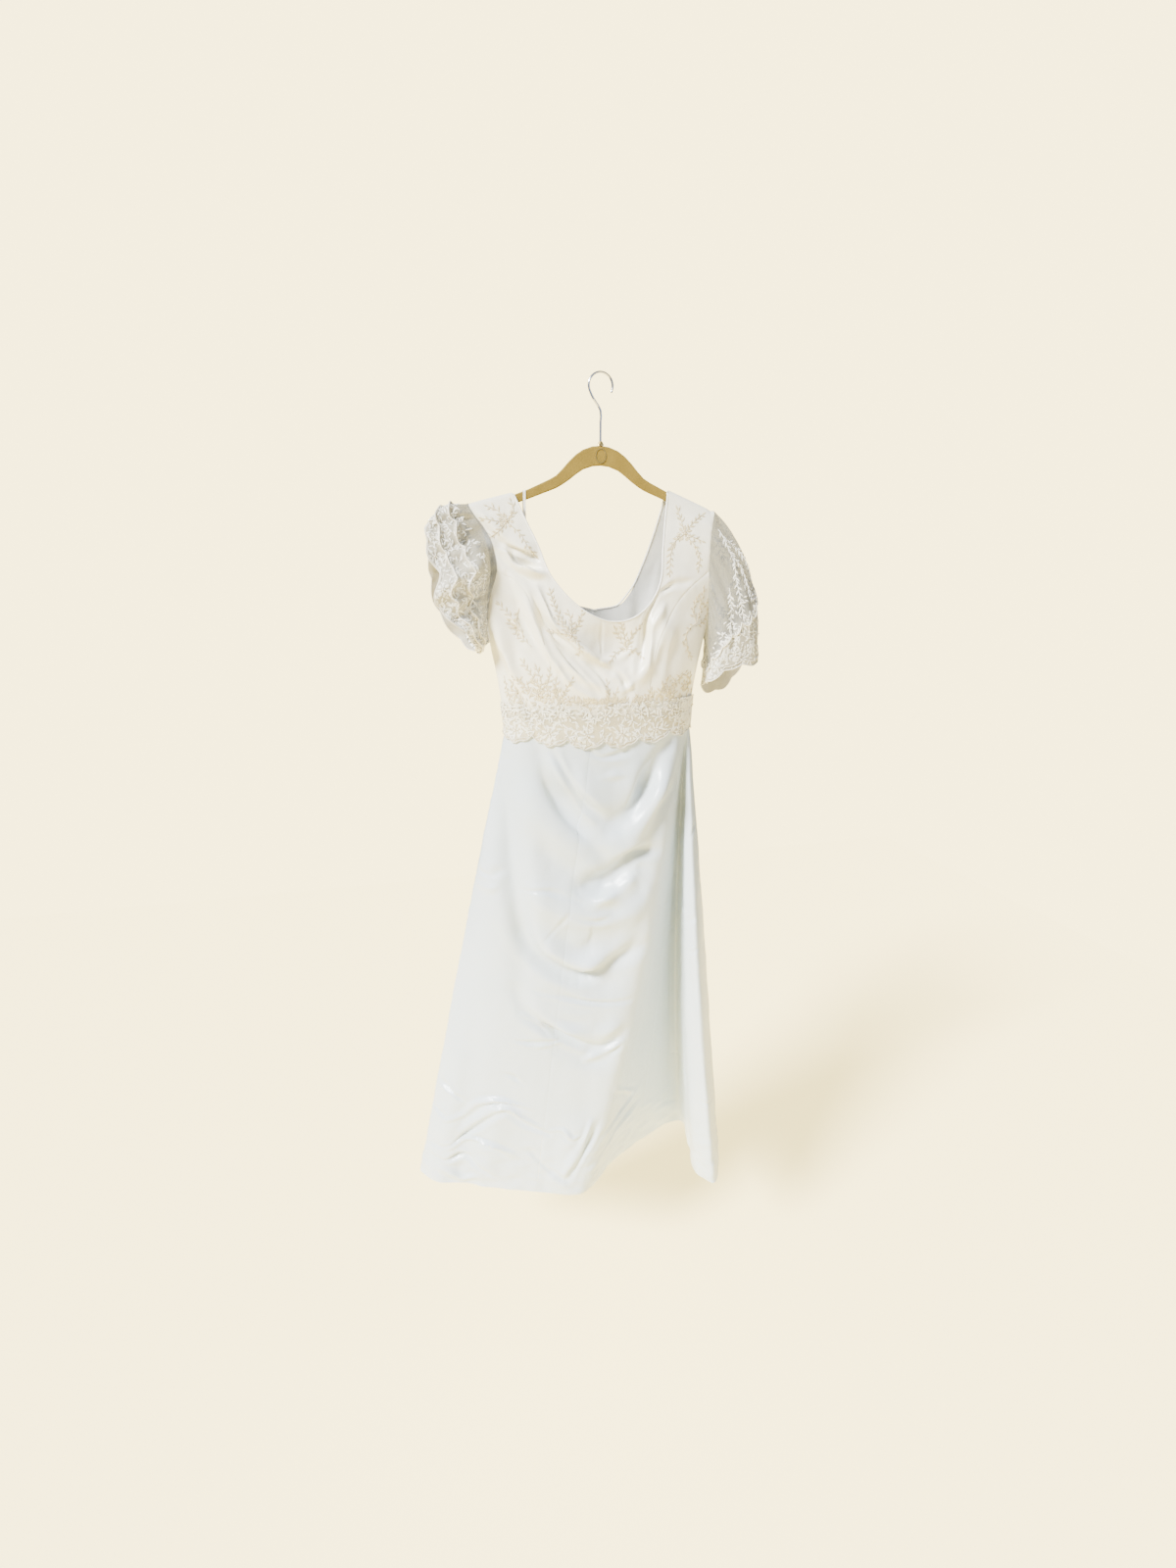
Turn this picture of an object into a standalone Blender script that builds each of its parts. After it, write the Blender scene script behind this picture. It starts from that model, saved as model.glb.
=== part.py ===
# Wedding dress hung on a flocked hanger: satin princess-line bodice, gored satin skirt, two
# organza sleeves, a scalloped lace band round the raised waist, and a wire hook on the hanger.
# Metres, +Z up, the front towards -Y and the image's right towards +X. The origin is the
# inside top of the hook's loop, which is the point that hangs on a rail or a wall hook.

import math

import bpy
import numpy as np

# Cloth walls and the gaps that the pieces keep to each other
SATIN_WALL = 0.0015
ORGANZA_WALL = 0.0010
LACE_WALL = 0.0012
SEAM_HALF_GAP = 0.0002
LACE_LIFT = 0.0014
PIPING_RADIUS = 0.0016
TOUCH_GAP = 0.0003
SHARP_ANGLE = 50.0

# Heights
UNDERARM_Z = -0.455
WAIST_Z = -0.615
HEM_Z = -1.600
KNEE_SHARE = 0.45
LACE_TOP_Z = -0.563

# Hanger
HOOK_WIRE_RADIUS = 0.0019
HOOK_LOOP_RADIUS = 0.0215
HOOK_NECK_TOP_Z = -0.060
FERRULE_TOP_Z = -0.1095
HANGER_TOP_Z = -0.1165
HANGER_THICKNESS = 0.005
BADGE_Z = -0.1335
BADGE_HALF_WIDTH = 0.0098
BADGE_HALF_HEIGHT = 0.0122
BADGE_RIM = 0.0011
RIBBON_X = -0.1385
RIBBON_WIDTH = 0.0045
RIBBON_WALL = 0.001
RIBBON_LENGTH = 0.060
SHOULDER_LIFT = 0.0045
SHOULDER_CLEARANCE = 0.0060
SHOULDER_ROLL = 0.005
SHOULDER_FLAT = 0.030
ROLL_FADE_START = 0.045
ROLL_FADE_LENGTH = 0.09

# Hanger outline: distance from the middle, height of the top edge, height of the bottom edge
HANGER_ARM = (
    (0.0000, -0.1165, -0.1497),
    (0.0150, -0.1180, -0.1512),
    (0.0320, -0.1240, -0.1570),
    (0.0450, -0.1325, -0.1655),
    (0.0575, -0.1440, -0.1750),
    (0.0700, -0.1575, -0.1832),
    (0.0810, -0.1680, -0.1893),
    (0.0930, -0.1748, -0.1940),
    (0.1050, -0.1803, -0.1985),
    (0.1300, -0.1917, -0.2080),
    (0.1570, -0.2020, -0.2172),
    (0.1850, -0.2130, -0.2270),
    (0.2060, -0.2215, -0.2338),
    (0.2125, -0.2255, -0.2320),
)

# Bodice sections: height, x of the left and right edge, y of those edges, y of the middle.
# Below the underarm the edges are the side seams, and above it they are the armholes.
FRONT_SECTIONS = (
    (-0.185, -0.2400, 0.2220, 0.000, 0.000, 0.000),
    (-0.225, -0.2350, 0.2190, -0.004, -0.004, -0.005),
    (-0.255, -0.2120, 0.2105, -0.010, -0.011, -0.014),
    (-0.290, -0.1980, 0.2060, -0.016, -0.018, -0.028),
    (-0.330, -0.1930, 0.2050, -0.020, -0.023, -0.041),
    (-0.370, -0.2040, 0.2070, -0.018, -0.021, -0.050),
    (-0.410, -0.2090, 0.2100, -0.011, -0.013, -0.056),
    (-0.455, -0.2060, 0.2080, 0.001, 0.001, -0.060),
    (-0.500, -0.1970, 0.2000, 0.005, 0.005, -0.063),
    (-0.555, -0.1880, 0.1920, 0.009, 0.009, -0.063),
    (-0.615, -0.1810, 0.1880, 0.012, 0.012, -0.060),
)
BACK_SECTIONS = (
    (-0.185, -0.2400, 0.2220, 0.000, 0.000, 0.000),
    (-0.225, -0.2350, 0.2190, 0.004, 0.004, 0.005),
    (-0.255, -0.2140, 0.2110, 0.011, 0.011, 0.012),
    (-0.290, -0.2020, 0.2070, 0.018, 0.018, 0.022),
    (-0.330, -0.1980, 0.2060, 0.021, 0.023, 0.031),
    (-0.370, -0.2050, 0.2075, 0.019, 0.021, 0.038),
    (-0.410, -0.2090, 0.2100, 0.012, 0.013, 0.044),
    (-0.455, -0.2060, 0.2080, 0.001, 0.001, 0.048),
    (-0.500, -0.1970, 0.2000, 0.005, 0.005, 0.051),
    (-0.555, -0.1880, 0.1920, 0.009, 0.009, 0.053),
    (-0.615, -0.1810, 0.1880, 0.012, 0.012, 0.054),
)
SECTION_ROUNDNESS = 2.4
SIDE_SEAM_BLUNTNESS = 0.6
ARMHOLE_BLUNTNESS = 1.0
ARMHOLE_BLEND = 0.07
SLOPE_STEP = 0.0004

# Lines on the bodice as (x, z) points
LEFT_SHOULDER = ((-0.236, -0.2185), (-0.200, -0.2085), (-0.160, -0.1980))
RIGHT_SHOULDER = ((0.1285, -0.1878), (0.172, -0.2048), (0.219, -0.2245))
FRONT_NECKLINE = (
    (-0.160, -0.198),
    (-0.1415, -0.243),
    (-0.121, -0.288),
    (-0.104, -0.334),
    (-0.067, -0.381),
    (-0.029, -0.408),
    (0.006, -0.419),
    (0.037, -0.417),
    (0.076, -0.394),
    (0.1035, -0.352),
    (0.113, -0.290),
    (0.123, -0.225),
    (0.1285, -0.1878),
)
BACK_NECKLINE = (
    (-0.160, -0.198),
    (-0.132, -0.254),
    (-0.098, -0.318),
    (-0.066, -0.372),
    (-0.052, -0.386),
    (0.000, -0.402),
    (0.055, -0.388),
    (0.068, -0.372),
    (0.092, -0.318),
    (0.112, -0.254),
    (0.1285, -0.1878),
)
LEFT_PRINCESS = ((-0.1925, -0.330), (-0.158, -0.350), (-0.134, -0.395), (-0.117, -0.447),
                 (-0.104, -0.505), (-0.088, -0.560), (-0.074, -0.615))
RIGHT_PRINCESS = ((0.2050, -0.330), (0.155, -0.368), (0.120, -0.412), (0.096, -0.455),
                  (0.084, -0.515), (0.079, -0.565), (0.077, -0.615))

# Rows and columns of the bodice's grids. The neck stops are the shares of the neckline, from
# each shoulder, that face the end of the strap and the waist's corner.
RIDGE_DROPS = (0.003, 0.008)
STRAP_ROWS = 6
FIRST_STRAP_SHARE = 0.16
PRINCESS_ROWS = 8
WAIST_ROWS = 10
FRONT_COLUMNS = 12
LEFT_NECK_STOPS = (0.245, 0.400)
RIGHT_NECK_STOPS = (0.247, 0.412)
SIDE_COLUMNS = 8
BACK_ARMHOLE_ROWS = 9
FIRST_BACK_SHARE = 0.12
BACK_SIDE_ROWS = PRINCESS_ROWS
BACK_WAIST_ROWS = 7
BACK_COLUMNS = 11
BACK_NECK_STOPS = (0.66, 0.80)
PIPING_SIDES = 5
WIRE_SIDES = 8

# Folds of the bodice front: the (x, z) ends, the sideways bow, the rise, the half width
BODICE_FOLDS = (
    # the strap laps over itself on the left shoulder
    (-0.212, -0.262, -0.122, -0.322, -0.008, -0.012, 0.013),
    (-0.205, -0.248, -0.128, -0.296, -0.010, 0.007, 0.015),
    # long diagonal ridges from the left strap to the middle of the bodice
    (-0.150, -0.350, 0.000, -0.500, -0.016, 0.009, 0.012),
    (-0.128, -0.375, 0.005, -0.530, -0.014, -0.009, 0.013),
    (-0.110, -0.430, -0.010, -0.540, -0.010, 0.007, 0.012),
    # the cup edge under the right strap
    (0.108, -0.395, 0.052, -0.530, 0.014, 0.008, 0.014),
)
# Hollow below the neckline, where no body fills the front: x, z, half width, half height, depth
NECK_HOLLOW = (0.012, -0.462, 0.052, 0.042, 0.020)

# Skirt stations, going round from the left side seam over the front. Columns: name, share
# across the bodice's edge at the waist, x and y at the knee, x and y at the hem, columns of
# cloth up to the next station.
SKIRT_STATIONS = (
    ("side_left", "front", -1.000, -0.272, 0.055, -0.384, 0.076, 3),
    ("flank", "front", -0.940, -0.254, 0.014, -0.356, 0.026, 3),
    ("front_left", "front", -0.760, -0.208, -0.022, -0.300, 0.006, 3),
    ("front_a", "front", -0.500, -0.152, -0.046, -0.232, -0.026, 3),
    ("left_seam", "front", -0.180, -0.088, -0.062, -0.152, -0.060, 4),
    ("front_c", "front", 0.180, -0.010, -0.072, -0.104, -0.080, 5),
    ("ridge", "front", 0.780, 0.081, -0.070, -0.064, -0.090, 3),
    ("slope_a", "front", 0.840, 0.110, -0.042, 0.015, -0.028, 3),
    ("right_seam", "front", 0.885, 0.146, -0.002, 0.102, 0.028, 3),
    ("valley", "front", 0.915, 0.184, 0.036, 0.226, 0.072, 4),
    ("strip_inner", "front", 0.940, 0.178, -0.020, 0.212, -0.015, 3),
    ("strip_edge", "front", 0.960, 0.166, -0.070, 0.199, -0.108, 3),
    ("strip_nose", "front", 0.975, 0.177, -0.088, 0.218, -0.134, 3),
    ("strip_outer", "front", 0.988, 0.206, -0.062, 0.255, -0.085, 2),
    ("right_mid", "front", 0.996, 0.226, -0.015, 0.276, -0.010, 2),
    ("side_right", "back", 1.000, 0.234, 0.040, 0.290, 0.066, 3),
    ("back_edge_right", "back", 0.940, 0.216, 0.062, 0.268, 0.098, 3),
    ("back_right", "back", 0.740, 0.160, 0.072, 0.202, 0.106, 3),
    ("back_mid_right", "back", 0.380, 0.078, 0.070, 0.092, 0.098, 4),
    ("back_centre", "back", 0.000, -0.012, 0.074, -0.032, 0.106, 4),
    ("back_mid_left", "back", -0.380, -0.102, 0.070, -0.156, 0.098, 3),
    ("back_left", "back", -0.740, -0.186, 0.072, -0.268, 0.104, 3),
    ("back_edge_left", "back", -0.940, -0.250, 0.070, -0.354, 0.098, 3),
)
FRONT_STATIONS = 15
SKIRT_ROWS = 22

# Swags of the skirt front: x and z of the lowest point, half width, rise at the ends,
# height of the fold, half width of the fold
SWAGS = (
    (-0.006, -0.792, 0.125, 0.130, -0.008, 0.022),
    (-0.004, -0.838, 0.120, 0.120, 0.007, 0.024),
    (-0.012, -0.915, 0.130, 0.100, -0.010, 0.032),
    (-0.020, -0.985, 0.130, 0.050, 0.010, 0.028),
    (-0.045, -1.115, 0.120, 0.085, -0.009, 0.024),
    (-0.030, -1.205, 0.120, 0.035, 0.004, 0.026),
    (-0.020, -1.285, 0.100, 0.060, -0.007, 0.026),
)
# Long folds of the skirt: x and z at the top, x and z at the bottom, height, half width
LONG_FOLDS = (
    (-0.164, -0.640, -0.170, -1.160, -0.008, 0.026),
    (-0.262, -1.000, -0.300, -1.600, -0.005, 0.026),
    (-0.215, -1.380, -0.262, -1.600, 0.006, 0.028),
    (-0.060, -1.420, -0.110, -1.600, 0.006, 0.026),
)
# Soft waves of the skirt back: how many, and their height at the hem
BACK_WAVES = 5
BACK_WAVE_HEIGHT = 0.009

# Scalloped lower edge of the waist lace, measured down from the waist
LACE_SIDE_DROP = 0.004
LACE_FRONT_DROP = 0.018
BIG_SCALLOPS = 12
BIG_SCALLOP_DEPTH = 0.013
SMALL_SCALLOP_DEPTH = 0.004

# Right sleeve's hem as (x, y, z), from its outer end over the front and under to the back
RIGHT_CUFF = (
    (0.314, -0.006, -0.470),
    (0.309, -0.028, -0.500),
    (0.280, -0.044, -0.500),
    (0.244, -0.052, -0.506),
    (0.202, -0.050, -0.529),
    (0.2140, -0.006, -0.536),
    (0.218, 0.028, -0.546),
    (0.236, 0.042, -0.562),
    (0.268, 0.038, -0.556),
    (0.296, 0.022, -0.515),
)
# Left sleeve's hem, pushed up against the shoulder
LEFT_CUFF = (
    (-0.288, -0.004, -0.238),
    (-0.308, -0.026, -0.262),
    (-0.309, -0.042, -0.300),
    (-0.292, -0.048, -0.338),
    (-0.301, -0.052, -0.382),
    (-0.264, -0.054, -0.422),
    (-0.232, -0.030, -0.456),
    (-0.234, 0.012, -0.468),
    (-0.256, 0.038, -0.448),
    (-0.292, 0.042, -0.392),
    (-0.302, 0.034, -0.318),
    (-0.296, 0.018, -0.258),
)
SLEEVE_ROWS = 7
ARMHOLE_GAP = 0.0004
SLEEVE_BELLY = 0.010
# How far each sleeve's crown stands out and up between the armhole and the cuff
RIGHT_SLEEVE_PUFF = (0.026, 0.013)
LEFT_SLEEVE_PUFF = (0.012, -0.004)
CUFF_SCALLOPS = 10
CUFF_SCALLOP_DEPTH = 0.005

# Colours as red, green, blue, with roughness and metallic
FINISHES = {
    "satin": ((0.86, 0.86, 0.83), 0.35, 0.0),
    "organza": ((0.80, 0.79, 0.73), 0.5, 0.0),
    "lace": ((0.85, 0.83, 0.74), 0.6, 0.0),
    "flocking": ((0.56, 0.43, 0.16), 0.9, 0.0),
    "chrome": ((0.75, 0.75, 0.74), 0.12, 1.0),
    "gilt": ((0.83, 0.68, 0.30), 0.3, 1.0),
}


# Curves and tables

def unit(vectors):
    lengths = np.linalg.norm(vectors, axis=-1, keepdims=True)
    return vectors / np.maximum(lengths, 1e-9)


def smooth_step(value):
    value = np.clip(value, 0.0, 1.0)
    return value * value * (3.0 - 2.0 * value)


def to_edge_shares(count):
    """Shares from 0 to 1 that crowd towards 1, for the rounded side of a section."""
    return np.sin(np.linspace(0, 1, count) * math.pi / 2) ** 1.15


def table_at(table, height):
    """The columns of a table at some heights, with a smooth curve through its rows."""
    rows = np.array(table, float)[::-1]
    keys, values = rows[:, 0], rows[:, 1:]
    slopes = np.gradient(values, keys, axis=0)
    height = np.clip(np.asarray(height, float), keys[0], keys[-1])
    low = np.clip(np.searchsorted(keys, height, side="right") - 1, 0, len(keys) - 2)
    span = keys[low + 1] - keys[low]
    share = ((height - keys[low]) / span)[..., None]
    span = span[..., None]
    square, cube = share**2, share**3
    return (
        (2 * cube - 3 * square + 1) * values[low]
        + (cube - 2 * square + share) * span * slopes[low]
        + (3 * square - 2 * cube) * values[low + 1]
        + (cube - square) * span * slopes[low + 1]
    )


def spline(points, steps, closed=False):
    """A smooth curve through points, with the given number of steps to each next point."""
    points = np.array(points, float)
    count = len(points)
    steps = [steps] * count if isinstance(steps, int) else list(steps)
    if closed:
        before, after = np.roll(points, 1, axis=0), np.roll(points, -1, axis=0)
    else:
        before = np.vstack([2 * points[0] - points[1], points[:-1]])
        after = np.vstack([points[1:], 2 * points[-1] - points[-2]])
    back = np.linalg.norm(points - before, axis=1, keepdims=True)
    ahead = np.linalg.norm(after - points, axis=1, keepdims=True)
    tangent = ((points - before) * ahead / back + (after - points) * back / ahead) / (back + ahead)
    found = []
    for i in range(count if closed else count - 1):
        j = (i + 1) % count
        share = np.arange(steps[i])[:, None] / steps[i]
        reach = ahead[i]
        found.append(
            (2 * share**3 - 3 * share**2 + 1) * points[i]
            + (share**3 - 2 * share**2 + share) * reach * tangent[i]
            + (3 * share**2 - 2 * share**3) * points[j]
            + (share**3 - share**2) * reach * tangent[j]
        )
    if not closed:
        found.append(points[-1:])
    return np.vstack(found)


def along(points, shares, closed=False):
    """Points at the given shares of the length of a smooth curve through points."""
    fine = spline(points, 24, closed)
    if closed:
        fine = np.vstack([fine, fine[:1]])
    length = np.concatenate([[0.0], np.cumsum(np.linalg.norm(np.diff(fine, axis=0), axis=1))])
    where = np.asarray(shares, float) * length[-1]
    return np.stack([np.interp(where, length, fine[:, k]) for k in range(fine.shape[1])], axis=1)


# The hanger's edges, which the shoulders hang on

def hanger_edges(x):
    arm = np.array(HANGER_ARM)
    return np.interp(abs(x), arm[:, 0], arm[:, 1]), np.interp(abs(x), arm[:, 0], arm[:, 2])


def shoulder_height(x):
    """Height of the shoulder ridge: the measured line, kept clear of the hanger's arm."""
    left, right = np.array(LEFT_SHOULDER), np.array(RIGHT_SHOULDER)
    line = np.where(
        x < 0, np.interp(x, left[:, 0], left[:, 1]), np.interp(x, right[:, 0], right[:, 1])
    )
    arm = np.array(HANGER_ARM)
    return np.maximum(line, np.interp(np.abs(x), arm[:, 0], arm[:, 1]) + SHOULDER_LIFT)


# The bodice as a depth over (x, z)

def fold_rise(x, z, folds):
    """Rise of straight or bowed folds: highest along the line, soft at the sides and ends."""
    rise = np.zeros(np.broadcast(x, z).shape)
    for x0, z0, x1, z1, bow, height, width in folds:
        run = np.array([x1 - x0, z1 - z0])
        length = np.hypot(*run)
        run /= length
        share = ((x - x0) * run[0] + (z - z0) * run[1]) / length
        off = (z - z0) * run[0] - (x - x0) * run[1] - bow * np.sin(np.pi * np.clip(share, 0, 1))
        ends = smooth_step((share + 0.1) / 0.3) * smooth_step((1.1 - share) / 0.3)
        rise += height * ends * np.exp(-((off / width) ** 2))
    return rise


def bodice_y(x, z, face):
    """Depth of the bodice's outer surface; face is -1 at the front and +1 at the back."""
    x, z = np.asarray(x, float), np.asarray(z, float)
    left, right, y_left, y_right, y_mid = np.moveaxis(
        table_at(FRONT_SECTIONS if face < 0 else BACK_SECTIONS, z), -1, 0
    )
    if face > 0:
        seam = table_at(FRONT_SECTIONS, z)
        y_left = np.where(z < UNDERARM_Z, seam[..., 2], y_left)
        y_right = np.where(z < UNDERARM_Z, seam[..., 3], y_right)
    share = np.clip((2 * x - left - right) / (right - left), -1.0, 1.0)
    edge = y_left + (y_right - y_left) * (share + 1) / 2
    above = smooth_step((z - UNDERARM_Z) / ARMHOLE_BLEND)
    blunt = SIDE_SEAM_BLUNTNESS + (ARMHOLE_BLUNTNESS - SIDE_SEAM_BLUNTNESS) * above
    round_off = (1 - np.abs(share) ** SECTION_ROUNDNESS) ** blunt
    depth = edge + (y_mid - edge) * round_off
    drop = shoulder_height(x) - z
    if face < 0:
        hollow_x, hollow_z, half_x, half_z, dent = NECK_HOLLOW
        hollow = dent * np.exp(-(((x - hollow_x) / half_x) ** 2) - ((z - hollow_z) / half_z) ** 2)
        depth = depth + (hollow - fold_rise(x, z, BODICE_FOLDS)) * smooth_step(round_off / 0.6)
    roll = SHOULDER_CLEARANCE * np.sin(np.clip(drop / SHOULDER_ROLL, 0, 1) * math.pi / 2)
    roll = roll * (1 - smooth_step((drop - ROLL_FADE_START) / ROLL_FADE_LENGTH))
    return depth * smooth_step(drop / SHOULDER_FLAT) + face * roll


def bodice_surface(flat, face):
    """Outer points and outward normals over (x, z) points."""
    x, z = flat[..., 0], flat[..., 1]
    step = SLOPE_STEP
    y = bodice_y(x, z, face)
    slope_x = (bodice_y(x + step, z, face) - bodice_y(x - step, z, face)) / (2 * step)
    slope_z = (bodice_y(x, z + step, face) - bodice_y(x, z - step, face)) / (2 * step)
    points = np.stack([x, y, z], axis=-1)
    return points, unit(face * np.stack([-slope_x, np.ones_like(x), -slope_z], axis=-1))


# Closed cloth walls

def add_object(name, vertices, faces, finish):
    mesh = bpy.data.meshes.new(name)
    mesh.from_pydata([tuple(map(float, v)) for v in vertices], [], faces)
    mesh.validate()
    mesh.shade_smooth()
    mesh.set_sharp_from_angle(angle=math.radians(SHARP_ANGLE))
    mesh.materials.append(material(finish))
    obj = bpy.data.objects.new(name, mesh)
    bpy.context.scene.collection.objects.link(obj)
    return obj


def material(finish):
    if finish in bpy.data.materials:
        return bpy.data.materials[finish]
    colour, roughness, metallic = FINISHES[finish]
    made = bpy.data.materials.new(finish)
    made.use_nodes = True
    shader = made.node_tree.nodes["Principled BSDF"]
    shader.inputs["Base Color"].default_value = (*colour, 1.0)
    shader.inputs["Roughness"].default_value = roughness
    shader.inputs["Metallic"].default_value = metallic
    return made


def square_to_edge(edge, neighbour):
    """Directions from an edge line towards its neighbour line, square to the edge."""
    tangent = unit(np.gradient(edge, axis=0))
    reach = neighbour - edge
    return unit(reach - tangent * (reach * tangent).sum(axis=1, keepdims=True))


def draw_in(outer, inner, edge, only=slice(None)):
    """Draws one edge of a wall in by half a seam gap. edge is the grid's row or column index,
    given as ("row", n) or ("column", n)."""
    kind, n = edge
    beside = n + 1 if n >= 0 else n - 1
    if kind == "column":
        step = square_to_edge(outer[:, n], outer[:, beside])[only] * SEAM_HALF_GAP
        outer[only, n] += step
        inner[only, n] += step
    else:
        step = square_to_edge(outer[n], outer[beside])[only] * SEAM_HALF_GAP
        outer[n, only] += step
        inner[n, only] += step


def cloth_wall(name, outer, inner, finish, ring=False):
    """A closed wall between two equal grids of points."""
    rows, columns = outer.shape[:2]
    vertices = np.vstack([outer.reshape(-1, 3), inner.reshape(-1, 3)])
    shift = rows * columns
    faces = []

    def close(a, b):
        faces.append((a, b, b + shift))
        faces.append((a, b + shift, a + shift))

    last = columns if ring else columns - 1
    for r in range(rows - 1):
        for c in range(last):
            a, b = r * columns + c, r * columns + (c + 1) % columns
            faces.append((a, b, b + columns, a + columns))
            faces.append((a + shift, a + columns + shift, b + columns + shift, b + shift))
    for c in range(last):
        d = (c + 1) % columns
        close(d, c)
        top = (rows - 1) * columns
        close(top + c, top + d)
    if not ring:
        for r in range(rows - 1):
            close(r * columns, (r + 1) * columns)
            a, b = r * columns + columns - 1, (r + 1) * columns + columns - 1
            faces.append((b, a, b + shift))
            faces.append((a, a + shift, b + shift))
    made = add_object(name, vertices, faces, finish)
    turn_outwards(made)
    return made


def turn_outwards(obj):
    """Turns the faces round if the closed mesh points inwards."""
    mesh = obj.data
    mesh.calc_loop_triangles()
    volume = 0.0
    for face in mesh.loop_triangles:
        a, b, c = (mesh.vertices[i].co for i in face.vertices)
        volume += a.dot(b.cross(c))
    if volume < 0:
        mesh.flip_normals()


def sweep(name, rings, finish, closed=False):
    """A solid through equal rings of points, with its two ends closed."""
    rings = np.asarray(rings)
    count, sides = rings.shape[:2]
    faces = []
    for r in range(count if closed else count - 1):
        for s in range(sides):
            a, b = r * sides + s, r * sides + (s + 1) % sides
            c, d = ((r + 1) % count) * sides + s, ((r + 1) % count) * sides + (s + 1) % sides
            faces.append((a, b, d, c))
    if not closed:
        faces.append(tuple(reversed(range(sides))))
        faces.append(tuple((count - 1) * sides + s for s in range(sides)))
    made = add_object(name, rings.reshape(-1, 3), faces, finish)
    turn_outwards(made)
    return made


def tube_rings(path, radius, sides, closed=False):
    """Round rings along a path, turned as little as the path allows."""
    path = np.asarray(path)
    if closed:
        tangent = unit(np.roll(path, -1, axis=0) - np.roll(path, 1, axis=0))
    else:
        tangent = unit(np.gradient(path, axis=0))
    first = np.cross(tangent[0], (0.3, 1.0, 0.2))
    side = [unit(first)]
    for here in tangent[1:]:
        moved = side[-1] - here * np.dot(side[-1], here)
        side.append(unit(moved))
    side = np.array(side)
    other = np.cross(side, tangent)
    twist = 0.0
    if closed:
        home = side[-1] - tangent[0] * np.dot(side[-1], tangent[0])
        twist = math.atan2(np.dot(home, other[0]), np.dot(home, side[0]))
    unwind = twist * np.arange(len(path))[:, None] / len(path)
    turn = np.arange(sides)[None] * 2 * math.pi / sides - unwind
    return (
        path[:, None]
        + radius * np.cos(turn)[..., None] * side[:, None]
        + radius * np.sin(turn)[..., None] * other[:, None]
    )


# Bodice pieces

def edge_points(face, side, heights):
    """The front's or back's armhole and side edge as (x, z) points."""
    columns = table_at(FRONT_SECTIONS if face < 0 else BACK_SECTIONS, heights)
    return np.stack([columns[:, 0 if side < 0 else 1], heights], axis=1)


def band(inner, outer, shares):
    """A grid whose rows run straight from an inner line to an outer line."""
    shares = np.asarray(shares)[None, :, None]
    return inner[:, None] * (1 - shares) + outer[:, None] * shares


def line_length(points):
    return float(np.linalg.norm(np.diff(spline(points, 24), axis=0), axis=1).sum())


def down_from_ridge(total, first, last, rows):
    """Row shares from the shoulder down: two close rows at the ridge, then even steps."""
    ridge = [0.0] + [drop / total for drop in RIDGE_DROPS]
    return np.concatenate([ridge, np.linspace(first, last, rows)])


def armhole_edge(face, side, tip, low, first, rows):
    """The armhole edge from the shoulder's tip down to a height."""
    drop = tip[1] - low
    line = edge_points(face, side, tip[1] - drop * down_from_ridge(drop, first, 1.0, rows))
    line[0] = tip
    return line


def on_ridge(point):
    return np.array([point[0], float(shoulder_height(point[0]))])


def centre_front():
    """Middle panel with both straps, in rows from the neckline out to the armholes, the
    princess seams and the waist."""
    total = line_length(FRONT_NECKLINE)
    outer, neck = [], []
    for side, seam, tip, stops in (
        (-1, LEFT_PRINCESS, LEFT_SHOULDER[0], LEFT_NECK_STOPS),
        (1, RIGHT_PRINCESS, RIGHT_SHOULDER[-1], RIGHT_NECK_STOPS),
    ):
        strap = armhole_edge(-1, side, on_ridge(tip), seam[0][1], FIRST_STRAP_SHARE, STRAP_ROWS)
        strap[-1] = seam[0]
        princess = along(seam, np.linspace(0, 1, PRINCESS_ROWS + 1))[1:]
        outer.append(np.vstack([strap, princess]))
        shares = np.concatenate([
            down_from_ridge(total, stops[0] * FIRST_STRAP_SHARE, stops[0], STRAP_ROWS),
            np.linspace(stops[0], stops[1], PRINCESS_ROWS + 1)[1:],
        ])
        neck.append(shares if side < 0 else 1 - shares[::-1])
    waist = np.linspace(outer[0][-1], outer[1][-1], WAIST_ROWS + 1)[1:-1]
    low = np.linspace(neck[0][-1], neck[1][0], WAIST_ROWS + 1)[1:-1]
    outer_line = np.vstack([outer[0], waist, outer[1][::-1]])
    neckline = along(FRONT_NECKLINE, np.concatenate([neck[0], low, neck[1]]))
    neckline[0], neckline[-1] = on_ridge(neckline[0]), on_ridge(neckline[-1])
    flat = band(neckline, outer_line, np.linspace(0, 1, FRONT_COLUMNS))
    for row in (0, -1):
        flat[row, :, 1] = shoulder_height(flat[row, :, 0])
    points, normals = bodice_surface(flat, -1)
    armhole = len(RIDGE_DROPS) + STRAP_ROWS
    corner = armhole + PRINCESS_ROWS
    settle_ridge(points, normals, (0, -1), -1)
    settle_waist(points, normals, slice(corner, len(points) - corner), -1)
    inner = points - normals * SATIN_WALL
    wall = points.copy()
    draw_in(wall, inner, ("column", -1), slice(armhole, corner + 1))
    draw_in(wall, inner, ("column", -1), slice(len(points) - corner - 1, len(points) - armhole))
    cloth_wall("bodice_centre_front", wall, inner, "satin")
    return points, normals


def settle_ridge(points, normals, rows, face):
    """Stands the shoulder's edge upright, half a seam gap from the other side's edge."""
    for row in rows:
        normals[row] = (0.0, 0.0, 1.0)
        points[row, :, 1] = face * SEAM_HALF_GAP


def settle_waist(points, normals, rows, column):
    """Levels the waist edge and lifts it by half a seam gap."""
    normals[rows, column, 2] = 0.0
    normals[rows, column] = unit(normals[rows, column])
    points[rows, column, 2] += SEAM_HALF_GAP


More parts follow.
